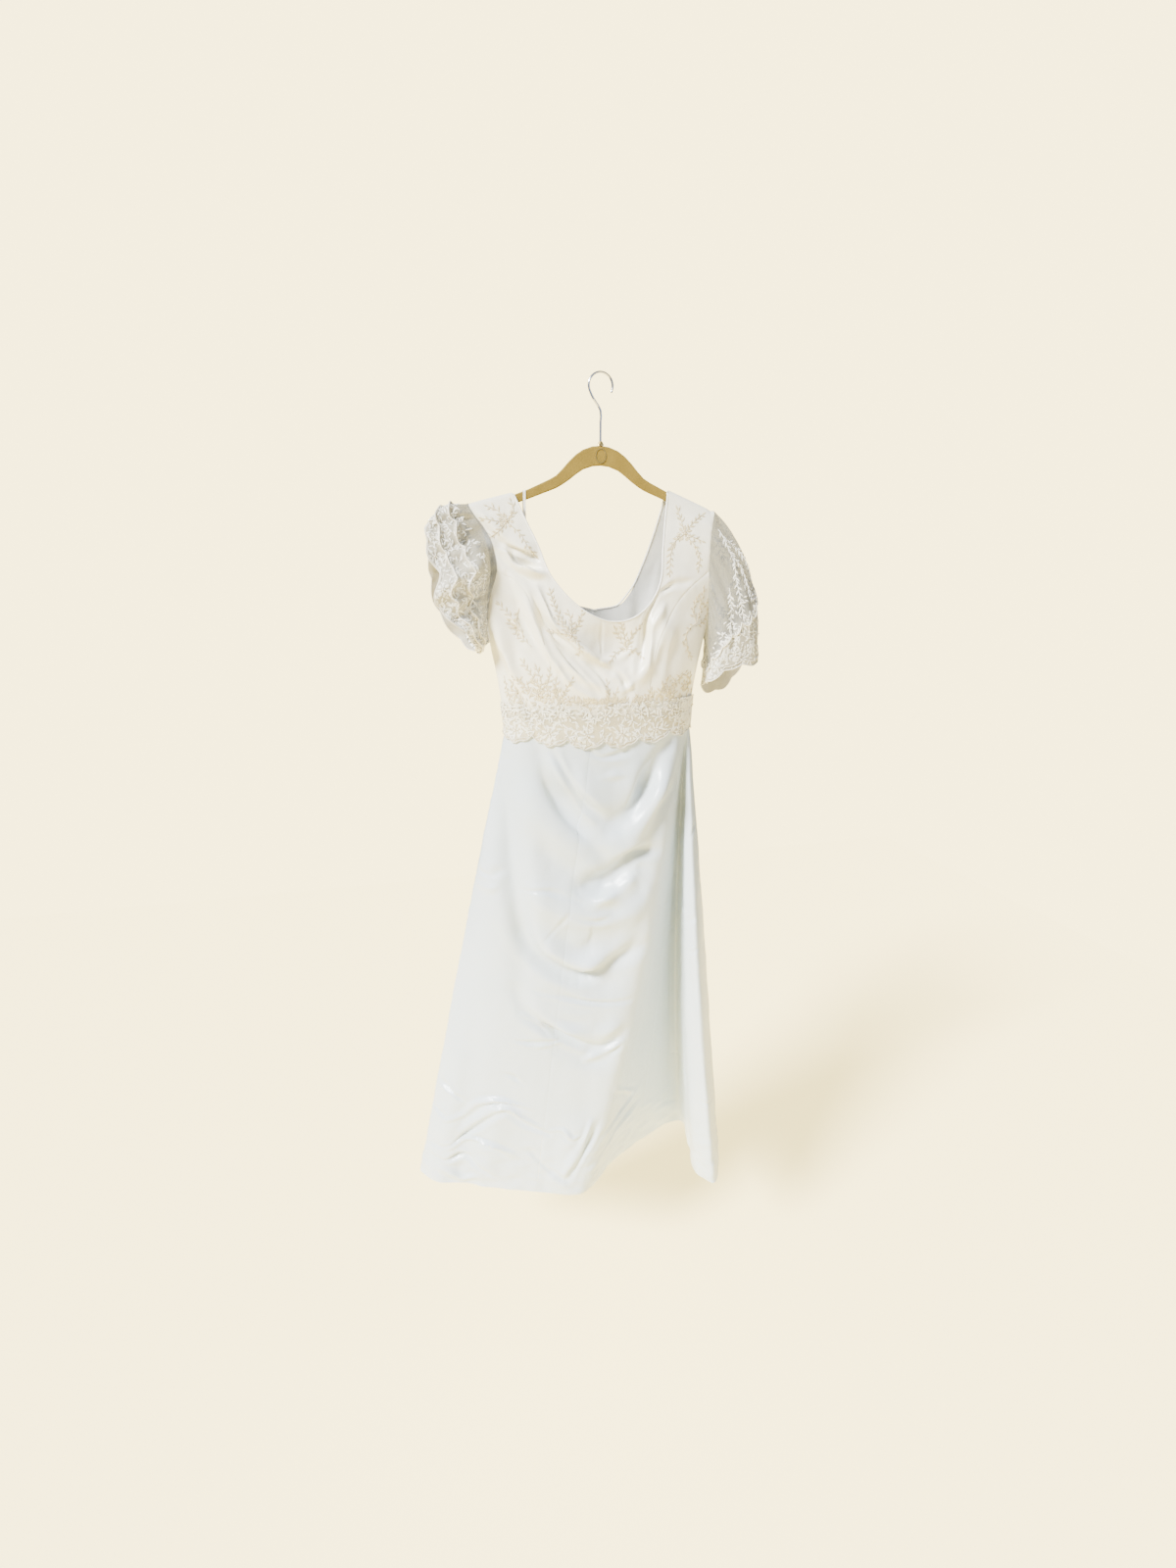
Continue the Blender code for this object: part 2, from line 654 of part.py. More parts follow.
def settle_side(points, normals, rows, column, face):
    """Turns the side seam's edge to face straight out, half a seam gap from the other side."""
    normals[rows, column] = np.sign(points[rows, column, :1]) * np.array([[1.0, 0.0, 0.0]])
    points[rows, column, 1] += face * SEAM_HALF_GAP


def side_front(side):
    """Side panel of the front, in rows from the princess seam out to the side seam, with the
    lower armhole on top."""
    seam = LEFT_PRINCESS if side < 0 else RIGHT_PRINCESS
    inner_line = along(seam, np.linspace(1, 0, PRINCESS_ROWS + 1))
    outer_line = edge_points(-1, side, np.linspace(WAIST_Z, UNDERARM_Z, PRINCESS_ROWS + 1))
    shares = to_edge_shares(SIDE_COLUMNS)
    armhole = edge_points(-1, side, seam[0][1] + (UNDERARM_Z - seam[0][1]) * shares)
    armhole[0] = seam[0]
    flat = band(inner_line, outer_line, shares)
    rise = np.linspace(0, 1, PRINCESS_ROWS + 1)[:, None, None]
    flat += (armhole - flat[-1])[None] * rise
    points, normals = bodice_surface(flat, -1)
    settle_side(points, normals, slice(None), -1, -1)
    settle_waist(points, normals, 0, slice(None))
    inner = points - normals * SATIN_WALL
    wall = points.copy()
    draw_in(wall, inner, ("column", 0))
    cloth_wall("bodice_side_front_" + ("left" if side < 0 else "right"), wall, inner, "satin")
    return points, normals


def back_half(side):
    """Half of the back, in rows from the neckline out to the armhole, the side seam and the
    waist; the last row is the centre-back seam."""
    shoulder = LEFT_SHOULDER if side < 0 else RIGHT_SHOULDER[::-1]
    neckline = np.array(BACK_NECKLINE[:6] if side < 0 else BACK_NECKLINE[:4:-1])
    total = line_length(neckline)
    tip = on_ridge(shoulder[0])
    armhole = armhole_edge(1, side, tip, UNDERARM_Z, FIRST_BACK_SHARE, BACK_ARMHOLE_ROWS)
    seam = edge_points(1, side, np.linspace(UNDERARM_Z, WAIST_Z, BACK_SIDE_ROWS + 1)[1:])
    waist = np.linspace(seam[-1], (0.0, WAIST_Z), BACK_WAIST_ROWS + 1)[1:]
    strap_stop, side_stop = BACK_NECK_STOPS
    neck_shares = np.concatenate([
        down_from_ridge(total, FIRST_BACK_SHARE * strap_stop, strap_stop, BACK_ARMHOLE_ROWS),
        np.linspace(strap_stop, side_stop, BACK_SIDE_ROWS + 1)[1:],
        np.linspace(side_stop, 1.0, BACK_WAIST_ROWS + 1)[1:],
    ])
    neck = along(neckline, neck_shares)
    neck[0] = on_ridge(neck[0])
    flat = band(neck, np.vstack([armhole, seam, waist]), to_edge_shares(BACK_COLUMNS))
    flat[0, :, 1] = shoulder_height(flat[0, :, 0])
    points, normals = bodice_surface(flat, 1)
    underarm = len(armhole) - 1
    corner = underarm + BACK_SIDE_ROWS
    settle_ridge(points, normals, (0,), 1)
    settle_side(points, normals, slice(underarm, corner + 1), -1, 1)
    settle_waist(points, normals, slice(corner, None), -1)
    inner = points - normals * SATIN_WALL
    wall = points.copy()
    draw_in(wall, inner, ("row", -1))
    cloth_wall("bodice_back_" + ("left" if side < 0 else "right"), wall, inner, "satin")
    return points, normals


def edge_run(grid, column):
    """One edge column of a panel: outer points, normals and the directions off the panel."""
    points, normals = grid
    beside = column - 1 if column < 0 else column + 1
    away = -square_to_edge(points[:, column], points[:, beside])
    return np.stack([points[:, column], normals[:, column], away], axis=1)


def neck_piping(front, back_left, back_right):
    """Round piping on the neckline's edge, all the way round the opening."""
    run = edge_run(front, 0)
    over = edge_run(back_right, 0)
    under = edge_run(back_left, 0)[::-1]
    for line, ends in (run, (0, -1)), (over, (0,)), (under, (-1,)):
        for end in ends:
            line[end, 2] = (-np.sign(line[end, 0, 0]), 0.0, 0.0)
    ring = np.vstack([run, over[1:], under[1:-1]])
    middle = ring[:, 0] - ring[:, 1] * SATIN_WALL / 2
    path = middle + ring[:, 2] * (PIPING_RADIUS + TOUCH_GAP)
    rings = tube_rings(path, PIPING_RADIUS, PIPING_SIDES, closed=True)
    sweep("neck_piping", rings, "satin", closed=True)


# Skirt and waist lace

def girth(heights, fine=1):
    """Outer points round the garment at each height: the bodice above the waist, the skirt
    below it, in the same columns."""
    steps = [row[7] * fine for row in SKIRT_STATIONS]
    across = spline([[row[2]] for row in SKIRT_STATIONS], steps, closed=True)[:, 0]
    across = np.clip(across, -1.0, 1.0)
    knee = spline([row[3:5] for row in SKIRT_STATIONS], steps, closed=True)
    hem = spline([row[5:7] for row in SKIRT_STATIONS], steps, closed=True)
    front = np.arange(len(across)) <= sum(steps[:FRONT_STATIONS])
    rings = []
    for z in heights:
        share = np.clip((WAIST_Z - z) / (WAIST_Z - HEM_Z), 0.0, 1.0)
        level = max(z, WAIST_Z)
        left, right = table_at(FRONT_SECTIONS, level)[:2]
        x = (left + right) / 2 + (right - left) / 2 * across
        heights_here = np.full(len(x), level)
        y = np.where(front, bodice_y(x, heights_here, -1), bodice_y(x, heights_here, 1))
        plan = (
            np.stack([x, y], axis=1) * (share - KNEE_SHARE) * (share - 1) / KNEE_SHARE
            + knee * share * (share - 1) / (KNEE_SHARE * (KNEE_SHARE - 1))
            + hem * share * (share - KNEE_SHARE) / (1 - KNEE_SHARE)
        )
        rings.append(np.column_stack([plan, np.full(len(plan), z)]))
    return np.array(rings)


def swag_rise(x, z):
    """Rise of the U-shaped folds that hang between the two ends of the waist."""
    rise = np.zeros(x.shape)
    for centre, low, half, lift, height, width in SWAGS:
        share = (x - centre) / half
        line = low + lift * share**2
        off = (z - line) / np.sqrt(1 + (2 * lift * share / half) ** 2)
        rise += height * np.exp(-((off / width) ** 2)) * smooth_step((1.25 - np.abs(share)) / 0.5)
    return rise


def skirt_rise(points):
    """Rise of all the skirt's folds along its outward normal."""
    x, y, z = points[..., 0], points[..., 1], points[..., 2]
    share = (WAIST_Z - z) / (WAIST_Z - HEM_Z)
    column = np.arange(points.shape[1])[None]
    counts = np.cumsum([0] + [row[7] for row in SKIRT_STATIONS])
    fine = points.shape[1] / counts[-1]
    place = {row[0]: counts[i] * fine for i, row in enumerate(SKIRT_STATIONS)}
    front = smooth_step(column / (5 * fine)) * smooth_step((place["ridge"] - column) / (3 * fine))
    rise = swag_rise(x, z) * front
    folds = [(x0, z0, x1, z1, 0.0, height, width) for x0, z0, x1, z1, height, width in LONG_FOLDS]
    rise += fold_rise(x, z, folds) * front
    back = (column - place["side_right"]) / (points.shape[1] - place["side_right"])
    back = np.clip(back, 0, 1)
    waves = np.sin(back * math.pi * 2 * BACK_WAVES) * np.sin(back * math.pi)
    rise += BACK_WAVE_HEIGHT * waves * share
    return rise * smooth_step(share / 0.05)


def girth_normals(points):
    around = np.roll(points, -1, axis=1) - np.roll(points, 1, axis=1)
    down = np.gradient(points, axis=0)
    return unit(np.cross(down, around))


def garment_girth(heights, fine=1):
    """Outer points with the folds in them, and their outward normals."""
    points = girth(heights, fine)
    normals = girth_normals(points)
    points = points + normals * skirt_rise(points)[..., None]
    points[..., 2] = np.asarray(heights)[:, None]
    return points, girth_normals(points)


def station_columns():
    counts = np.cumsum([0] + [row[7] for row in SKIRT_STATIONS])
    return {row[0]: int(counts[i]) for i, row in enumerate(SKIRT_STATIONS)}


def seamed_wall(name, points, normals, thickness, finish):
    """A wall whose first and last columns are seams."""
    outer, inner = points.copy(), points - normals * thickness
    draw_in(outer, inner, ("column", 0))
    draw_in(outer, inner, ("column", -1))
    cloth_wall(name, outer, inner, finish)


def skirt():
    heights = np.linspace(WAIST_Z, HEM_Z, SKIRT_ROWS + 1)
    points, normals = garment_girth(heights)
    normals[0, :, 2] = 0.0
    normals[-1, :, 2] = 0.0
    normals = unit(normals)
    points[0, :, 2] -= SEAM_HALF_GAP
    points = np.concatenate([points, points[:, :1]], axis=1)
    normals = np.concatenate([normals, normals[:, :1]], axis=1)
    at = station_columns()
    end = points.shape[1] - 1
    gores = (
        ("skirt_side_left", 0, at["left_seam"]),
        ("skirt_front", at["left_seam"], at["right_seam"]),
        ("skirt_side_right", at["right_seam"], at["side_right"]),
        ("skirt_back_right", at["side_right"], at["back_centre"]),
        ("skirt_back_left", at["back_centre"], end),
    )
    for name, first, last in gores:
        seamed_wall(name, points[:, first:last + 1], normals[:, first:last + 1], SATIN_WALL, "satin")


def waist_lace():
    """Scalloped lace band that lies on the bodice's lower edge and the top of the skirt."""
    at = station_columns()
    total = sum(row[7] for row in SKIRT_STATIONS)
    rows = 5
    deepest = LACE_FRONT_DROP + BIG_SCALLOP_DEPTH + SMALL_SCALLOP_DEPTH
    heights = np.linspace(LACE_TOP_Z, WAIST_Z - deepest, 14)
    points, normals = garment_girth(heights)
    lengths = np.linalg.norm(np.diff(points[4], axis=0, append=points[4][:1]), axis=1)
    walk = np.concatenate([[0], np.cumsum(lengths)])[:total] / lengths.sum()
    big = np.abs(np.sin(walk * math.pi * BIG_SCALLOPS))
    small = np.abs(np.sin(walk * math.pi * BIG_SCALLOPS * 3))
    middle = smooth_step(1 - np.abs(points[4, :, 0]) / 0.19)
    drop = LACE_SIDE_DROP + (LACE_FRONT_DROP - LACE_SIDE_DROP) * middle
    bottom = WAIST_Z - drop - BIG_SCALLOP_DEPTH * big - SMALL_SCALLOP_DEPTH * small
    outer = np.zeros((rows, total, 3))
    facing = np.zeros((rows, total, 3))
    for c in range(total):
        z = np.linspace(LACE_TOP_Z, bottom[c], rows)
        for k in range(3):
            outer[:, c, k] = np.interp(-z, -heights, points[:, c, k])
            facing[:, c, k] = np.interp(-z, -heights, normals[:, c, k])
    facing[..., 2] = 0.0
    facing = unit(facing)
    outer = outer + facing * (LACE_LIFT + LACE_WALL)
    outer = np.concatenate([outer, outer[:, :1]], axis=1)
    facing = np.concatenate([facing, facing[:, :1]], axis=1)
    side = at["side_right"]
    for name, first, last in ("waist_lace_front", 0, side), ("waist_lace_back", side, total):
        seamed_wall(name, outer[:, first:last + 1], facing[:, first:last + 1], LACE_WALL, "lace")


# Sleeves

def armhole_ring(side, front, side_panel, back):
    """The armhole's edge as a ring of points, normals and directions off the bodice, from the
    shoulder tip down the front and up the back."""
    straps = len(RIDGE_DROPS) + STRAP_ROWS
    strap = edge_run(front, -1)[:straps] if side < 0 else edge_run(front, -1)[:-straps - 1:-1]
    turned = side_panel[0].transpose(1, 0, 2), side_panel[1].transpose(1, 0, 2)
    under = edge_run(turned, -1)
    rise = edge_run(back, -1)[:len(RIDGE_DROPS) + BACK_ARMHOLE_ROWS][::-1]
    return np.vstack([strap, under, rise])


def sleeve(side, ring, cuff, puff, name):
    """Bell sleeve from the armhole to a scalloped cuff, with its crown puffed outwards."""
    lift_out, lift_up = puff
    first = ring[:, 0] + ring[:, 1] * (ORGANZA_WALL + ARMHOLE_GAP)
    steps = np.linalg.norm(np.diff(first, axis=0, append=first[:1]), axis=1)
    shares = np.concatenate([[0], np.cumsum(steps)])[:-1] / steps.sum()
    last = along(cuff, shares, closed=True)
    scallop = np.abs(np.sin(shares * math.pi * CUFF_SCALLOPS))
    crown = 0.5 + 0.5 * np.cos(shares * 2 * math.pi)
    axis = unit(last.mean(axis=0) - first.mean(axis=0))
    last = last + axis * (CUFF_SCALLOP_DEPTH * scallop)[:, None]
    rows = []
    for share in np.linspace(0, 1, SLEEVE_ROWS + 1):
        row = first * (1 - share) + last * share
        rise = math.sin(math.pi * share) ** 0.8
        row[:, 0] += side * lift_out * rise * (0.25 + 0.75 * crown)
        row[:, 2] += lift_up * rise * crown
        belly = unit((row - row.mean(axis=0)) * (0.0, 1.0, 0.3))
        rows.append(row + belly * SLEEVE_BELLY * math.sin(math.pi * share))
    points = np.array(rows)
    normals = girth_normals(points)
    if (normals * (points - points.mean(axis=1, keepdims=True))).sum() < 0:
        normals = -normals
    normals[0] = ring[:, 1]
    cloth_wall(name, points, points - normals * ORGANZA_WALL, "organza", ring=True)


# Hanger

def hanger_body():
    arm = np.array(HANGER_ARM)
    rows = np.vstack([arm[::-1] * (-1, 1, 1), arm[1:]])
    round_radius = HANGER_THICKNESS / 2
    turn = np.linspace(0, math.pi, 5)
    rings = []
    for x, top, bottom in rows:
        radius = min(round_radius, (top - bottom) / 2 - 0.0002)
        upper = [(x, round_radius * math.cos(a), top - radius + radius * math.sin(a)) for a in turn]
        lower = [(x, -round_radius * math.cos(a), bottom + radius - radius * math.sin(a)) for a in turn]
        rings.append(upper + lower)
    sweep("hanger_body", rings, "flocking")


def hanger_hook():
    """Wire hook: a straight neck, an S-bend to the left, and a loop over to the right."""
    top = HOOK_WIRE_RADIUS - HOOK_LOOP_RADIUS
    neck = [(0.0, FERRULE_TOP_Z + TOUCH_GAP), (0.0, -0.095), (0.0, -0.078), (0.0, HOOK_NECK_TOP_Z)]
    bend = [(-0.004, -0.0525), (-0.0125, -0.0415)]
    turns = np.radians(np.linspace(206, -28, 13))
    loop = [(HOOK_LOOP_RADIUS * math.cos(a), top + HOOK_LOOP_RADIUS * math.sin(a)) for a in turns]
    line = spline(neck + bend + loop, 2)
    path = np.column_stack([line[:, 0], np.zeros(len(line)), line[:, 1]])
    sweep("hanger_hook", tube_rings(path, HOOK_WIRE_RADIUS, WIRE_SIDES), "chrome")


def hook_ferrule():
    turn = np.arange(16) * 2 * math.pi / 16
    rows = ((HANGER_TOP_Z + TOUCH_GAP, 0.0062), (-0.1140, 0.0056), (FERRULE_TOP_Z, 0.0031))
    rings = [[(r * math.cos(a), r * 0.6 * math.sin(a), z) for a in turn] for z, r in rows]
    sweep("hook_ferrule", rings, "gilt")


def hanger_badge():
    """Plain oval rim on the hanger's front."""
    front = -HANGER_THICKNESS / 2 - TOUCH_GAP
    rings = []
    for a in np.arange(28) * 2 * math.pi / 28:
        inner = (BADGE_HALF_WIDTH - BADGE_RIM, BADGE_HALF_HEIGHT - BADGE_RIM)
        outer = (BADGE_HALF_WIDTH, BADGE_HALF_HEIGHT)
        near, far = front - 0.0007, front
        rings.append([
            (w * math.cos(a), y, BADGE_Z + h * math.sin(a))
            for (w, h), y in ((inner, far), (outer, far), (outer, near), (inner, near))
        ])
    sweep("hanger_badge", rings, "gilt", closed=True)


def hanger_ribbon():
    """Hanging ribbon from inside the left shoulder, laid over the hanger's arm."""
    top = hanger_edges(RIBBON_X)[0]
    slope = (hanger_edges(RIBBON_X + 0.002)[0] - hanger_edges(RIBBON_X - 0.002)[0]) / 0.004
    near = HANGER_THICKNESS / 2 + 2 * TOUCH_GAP
    turn = np.linspace(math.pi, 0, 9)
    arc_z = top - HANGER_THICKNESS / 2 + TOUCH_GAP
    bottom = top - RIBBON_LENGTH
    walls = []
    for out in (near, near + RIBBON_WALL):
        line = [(-out, bottom), (-out, (bottom + arc_z) / 2)]
        line += [(out * math.cos(a), arc_z + out * math.sin(a)) for a in turn]
        line += [(out, (bottom + arc_z) / 2), (out, bottom)]
        walls.append(line)
    half = RIBBON_WIDTH / 2
    rings = [
        [(RIBBON_X + dx, y, z + dx * slope) for dx, (y, z) in
         ((-half, inner), (half, inner), (half, outer), (-half, outer))]
        for inner, outer in zip(*walls)
    ]
    sweep("hanger_ribbon", rings, "satin")


def main():
    for obj in list(bpy.data.objects):
        bpy.data.objects.remove(obj)
    front = centre_front()
    side_left, side_right = side_front(-1), side_front(1)
    back_left, back_right = back_half(-1), back_half(1)
    neck_piping(front, back_left, back_right)
    skirt()
    waist_lace()
    ring = armhole_ring(1, front, side_right, back_right)
    sleeve(1, ring, RIGHT_CUFF, RIGHT_SLEEVE_PUFF, "sleeve_right")
    ring = armhole_ring(-1, front, side_left, back_left)
    sleeve(-1, ring, LEFT_CUFF, LEFT_SLEEVE_PUFF, "sleeve_left")
    hanger_body()
    hanger_hook()
    hook_ferrule()
    hanger_badge()
    hanger_ribbon()


main()
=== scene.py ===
import math

import bpy
import numpy as np
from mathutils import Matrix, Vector, noise
from mathutils.bvhtree import BVHTree


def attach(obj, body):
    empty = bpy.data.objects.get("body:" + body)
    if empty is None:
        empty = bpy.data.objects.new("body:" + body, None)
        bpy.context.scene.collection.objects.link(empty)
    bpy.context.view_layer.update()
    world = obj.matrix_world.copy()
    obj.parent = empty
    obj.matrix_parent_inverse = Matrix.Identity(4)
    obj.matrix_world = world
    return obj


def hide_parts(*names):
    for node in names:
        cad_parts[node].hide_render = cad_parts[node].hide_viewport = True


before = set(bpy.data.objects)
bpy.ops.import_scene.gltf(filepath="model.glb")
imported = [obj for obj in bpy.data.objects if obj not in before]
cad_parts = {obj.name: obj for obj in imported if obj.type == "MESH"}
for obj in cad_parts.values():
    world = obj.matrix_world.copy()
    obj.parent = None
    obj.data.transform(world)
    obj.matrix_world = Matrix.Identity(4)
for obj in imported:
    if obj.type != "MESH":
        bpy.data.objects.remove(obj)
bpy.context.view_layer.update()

print("frame loaded:", len(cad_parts), "nodes")
bpy.ops.object.select_all(action="DESELECT")


# Camera at the photograph's place
camera = {
    "place": (-0.4061, -1.4306, -0.345),
    "turn": (75.4, 0.0, -15.0),  # degrees
    "lens": 18.0,
    "sensor": 36.0,
}
bpy.ops.object.camera_add(location=camera["place"],
                          rotation=[math.radians(a) for a in camera["turn"]])
view = bpy.context.object
view.data.lens = camera["lens"]
view.data.sensor_width = camera["sensor"]
view.data.clip_start = 0.01
bpy.context.scene.camera = view


# Curves and tables that the forms share

def unit(vectors):
    lengths = np.linalg.norm(vectors, axis=-1, keepdims=True)
    return vectors / np.maximum(lengths, 1e-9)


def smoothStep(value):
    value = np.clip(value, 0.0, 1.0)
    return value * value * (3.0 - 2.0 * value)


def toEdgeShares(count):
    return np.sin(np.linspace(0, 1, count) * math.pi / 2) ** 1.15


def tableAt(table, height):
    rows = np.array(table, float)[::-1]
    keys, values = rows[:, 0], rows[:, 1:]
    slopes = np.gradient(values, keys, axis=0)
    height = np.clip(np.asarray(height, float), keys[0], keys[-1])
    low = np.clip(np.searchsorted(keys, height, side="right") - 1, 0, len(keys) - 2)
    span = keys[low + 1] - keys[low]
    share = ((height - keys[low]) / span)[..., None]
    span = span[..., None]
    square, cube = share**2, share**3
    return (
        (2 * cube - 3 * square + 1) * values[low]
        + (cube - 2 * square + share) * span * slopes[low]
        + (3 * square - 2 * cube) * values[low + 1]
        + (cube - square) * span * slopes[low + 1]
    )


def spline(points, steps, closed=False):
    points = np.array(points, float)
    count = len(points)
    steps = [steps] * count if isinstance(steps, int) else list(steps)
    if closed:
        before, after = np.roll(points, 1, axis=0), np.roll(points, -1, axis=0)
    else:
        before = np.vstack([2 * points[0] - points[1], points[:-1]])
        after = np.vstack([points[1:], 2 * points[-1] - points[-2]])
    back = np.linalg.norm(points - before, axis=1, keepdims=True)
    ahead = np.linalg.norm(after - points, axis=1, keepdims=True)
    tangent = ((points - before) * ahead / back + (after - points) * back / ahead) / (back + ahead)
    found = []
    for i in range(count if closed else count - 1):
        j = (i + 1) % count
        share = np.arange(steps[i])[:, None] / steps[i]
        reach = ahead[i]
        found.append(
            (2 * share**3 - 3 * share**2 + 1) * points[i]
            + (share**3 - 2 * share**2 + share) * reach * tangent[i]
            + (3 * share**2 - 2 * share**3) * points[j]
            + (share**3 - share**2) * reach * tangent[j]
        )
    if not closed:
        found.append(points[-1:])
    return np.vstack(found)


def along(points, shares, closed=False):
    fine = spline(points, 24, closed)
    if closed:
        fine = np.vstack([fine, fine[:1]])
    length = np.concatenate([[0.0], np.cumsum(np.linalg.norm(np.diff(fine, axis=0), axis=1))])
    where = np.asarray(shares, float) * length[-1]
    return np.stack([np.interp(where, length, fine[:, k]) for k in range(fine.shape[1])], axis=1)


def squareToEdge(edge, neighbour):
    tangent = unit(np.gradient(edge, axis=0))
    reach = neighbour - edge
    return unit(reach - tangent * (reach * tangent).sum(axis=1, keepdims=True))


def band(inner, outer, shares):
    shares = np.asarray(shares)[None, :, None]
    return inner[:, None] * (1 - shares) + outer[:, None] * shares


def lineLength(points):
    return float(np.linalg.norm(np.diff(spline(points, 24), axis=0), axis=1).sum())


def tubeRings(path, radius, sides, closed=False):
    path = np.asarray(path)
    if closed:
        tangent = unit(np.roll(path, -1, axis=0) - np.roll(path, 1, axis=0))
    else:
        tangent = unit(np.gradient(path, axis=0))
    first = np.cross(tangent[0], (0.3, 1.0, 0.2))
    side = [unit(first)]
    for here in tangent[1:]:
        moved = side[-1] - here * np.dot(side[-1], here)
        side.append(unit(moved))
    side = np.array(side)
    other = np.cross(side, tangent)
    twist = 0.0
    if closed:
        home = side[-1] - tangent[0] * np.dot(side[-1], tangent[0])
        twist = math.atan2(np.dot(home, other[0]), np.dot(home, side[0]))
    unwind = twist * np.arange(len(path))[:, None] / len(path)
    turn = np.arange(sides)[None] * 2 * math.pi / sides - unwind
    return (
        path[:, None]
        + radius * np.cos(turn)[..., None] * side[:, None]
        + radius * np.sin(turn)[..., None] * other[:, None]
    )


def perlin(points, scale, shift=0.0):
    flat = points.reshape(-1, 3) / scale + shift
    return np.array([noise.noise(Vector(p)) for p in flat]).reshape(points.shape[:-1])


def unevenness(points, relief):
    return sum(height * perlin(points, size, shift) for height, size, shift in relief)


creaseForm = {
    "ends": (0.04, 0.92),  # where on half a wave its line starts, and how much it takes
    "taper": 0.7,
    "unevenHeight": (0.85, 0.3),
    "unevenWidth": (0.85, 0.25),
    "shoulder": (0.32, 2.1, 1.1),  # height, place and width as shares of the crease
}


# Rise of soft creases over (x, z): a trough or ridge along each line, with a low shoulder on
# both sides, thinner at its ends and uneven along its run
def creaseRise(x, z, creases):
    start, span = creaseForm["ends"]
    least, swell = creaseForm["unevenHeight"]
    narrow, widen = creaseForm["unevenWidth"]
    side, beside, sideWidth = creaseForm["shoulder"]
    rise = np.zeros(np.broadcast(x, z).shape)
    for number, (height, width, points) in enumerate(creases):
        line = spline(points, 4)
        reach = 4 * width
        low, high = line.min(axis=0) - reach, line.max(axis=0) + reach
        near = (x > low[0]) & (x < high[0]) & (z > low[1]) & (z < high[1])
        if not near.any():
            continue
        px, pz = x[near], z[near]
        off = np.full(px.shape, 1.0)
        place = np.zeros(px.shape)
        lengths = np.linalg.norm(np.diff(line, axis=0), axis=1)
        run = 0.0
        for a, step, length in zip(line[:-1], np.diff(line, axis=0), lengths):
            share = np.clip(((px - a[0]) * step[0] + (pz - a[1]) * step[1]) / length**2, 0, 1)
            away = np.hypot(px - a[0] - share * step[0], pz - a[1] - share * step[1])
            closer = away < off
            off = np.where(closer, away, off)
            place = np.where(closer, (run + share * length) / lengths.sum(), place)
            run += length
        taper = np.sin(np.pi * np.clip(start + span * place, 0, 1)) ** creaseForm["taper"]
        taper *= least + swell * np.sin(place * 9 + number * 1.7)
        wide = width * (narrow + widen * np.sin(place * 6 + number * 2.3))
        shoulder = side * np.exp(-(((off - beside * wide) / (sideWidth * wide)) ** 2))
        rise[near] += height * taper * (np.exp(-((off / wide) ** 2)) - shoulder)
    return rise


# Materials

def fromHex(code):
    values = [int(code[i:i + 2], 16) / 255 for i in (0, 2, 4)]
    return tuple(v / 12.92 if v <= 0.04045 else ((v + 0.055) / 1.055) ** 2.4
                 for v in values) + (1.0,)


def drive(tree, node, links):
    for key, source in links.items():
        origin, output = source if isinstance(source, tuple) else (source, 0)
        tree.links.new(origin.outputs[output], node.inputs[key])


def addNode(tree, kind, settings=None, links=None):
    node = tree.nodes.new(kind)
    for key, value in (settings or {}).items():
        if isinstance(key, str) and hasattr(node, key):
            setattr(node, key, value)
        else:
            node.inputs[key].default_value = value
    drive(tree, node, links or {})
    return node


def addNoise(tree, scale, detail, source):
    return addNode(tree, "ShaderNodeTexNoise", {"Scale": scale, "Detail": detail},
                   {"Vector": source})


# The node's colour comes out of its third output
def addBlend(tree, first, second, share):
    settings = {"data_type": "RGBA", 6: fromHex(first), 7: fromHex(second)}
    return addNode(tree, "ShaderNodeMix", settings, {0: share}), 2


def addRange(tree, value, **limits):
    settings = {limit[:-3] + " " + limit[-3:]: amount for limit, amount in limits.items()}
    return addNode(tree, "ShaderNodeMapRange", settings, {"Value": value})


def addBump(tree, strength, distance, height, **under):
    return addNode(tree, "ShaderNodeBump", {"Strength": strength, "Distance": distance},
                   {"Height": height, **under})


def newFinish(name, settings):
    made = bpy.data.materials.new(name)
    made.use_nodes = True
    tree = made.node_tree
    shader = tree.nodes["Principled BSDF"]
    for key, value in settings.items():
        shader.inputs[key].default_value = value
    return made, tree, shader


# Bridal satin, polyester, warp-faced weave: broad soft highlights and a faint drag of floats
# down the cut. Real floats are 0.1 mm apart; they are drawn 0.5 mm apart so that they show.
def bridalSatin(name, pale, shade, rough):
    floatSpacing = 0.0005
    made, tree, shader = newFinish(name, {"IOR": 1.5, "Sheen Weight": 0.12,
                                          "Sheen Roughness": 0.35})
    cut = addNode(tree, "ShaderNodeUVMap", {"uv_map": "cut"})
    place = addNode(tree, "ShaderNodeTexCoord")
    cloud = addNoise(tree, 9.0, 3.0, (place, "Object"))
    tone = addBlend(tree, pale, shade, cloud)
    floats = addNode(tree, "ShaderNodeMapping",
                     {"Scale": (1 / floatSpacing, 0.04 / floatSpacing, 1.0)}, {"Vector": cut})
    drag = addNoise(tree, 1.0, 1.0, floats)
    gloss = addRange(tree, drag, FromMin=0.3, FromMax=0.7, ToMin=rough - 0.05,
                     ToMax=rough + 0.06)
    soft = addNoise(tree, 85.0, 2.0, (place, "Object"))
    puckers = addBump(tree, 0.35, 0.0012, soft)
    weave = addBump(tree, 0.25, 0.00012, drag, Normal=puckers)
    drive(tree, shader, {"Base Color": tone, "Roughness": gloss, "Normal": weave})
    return made


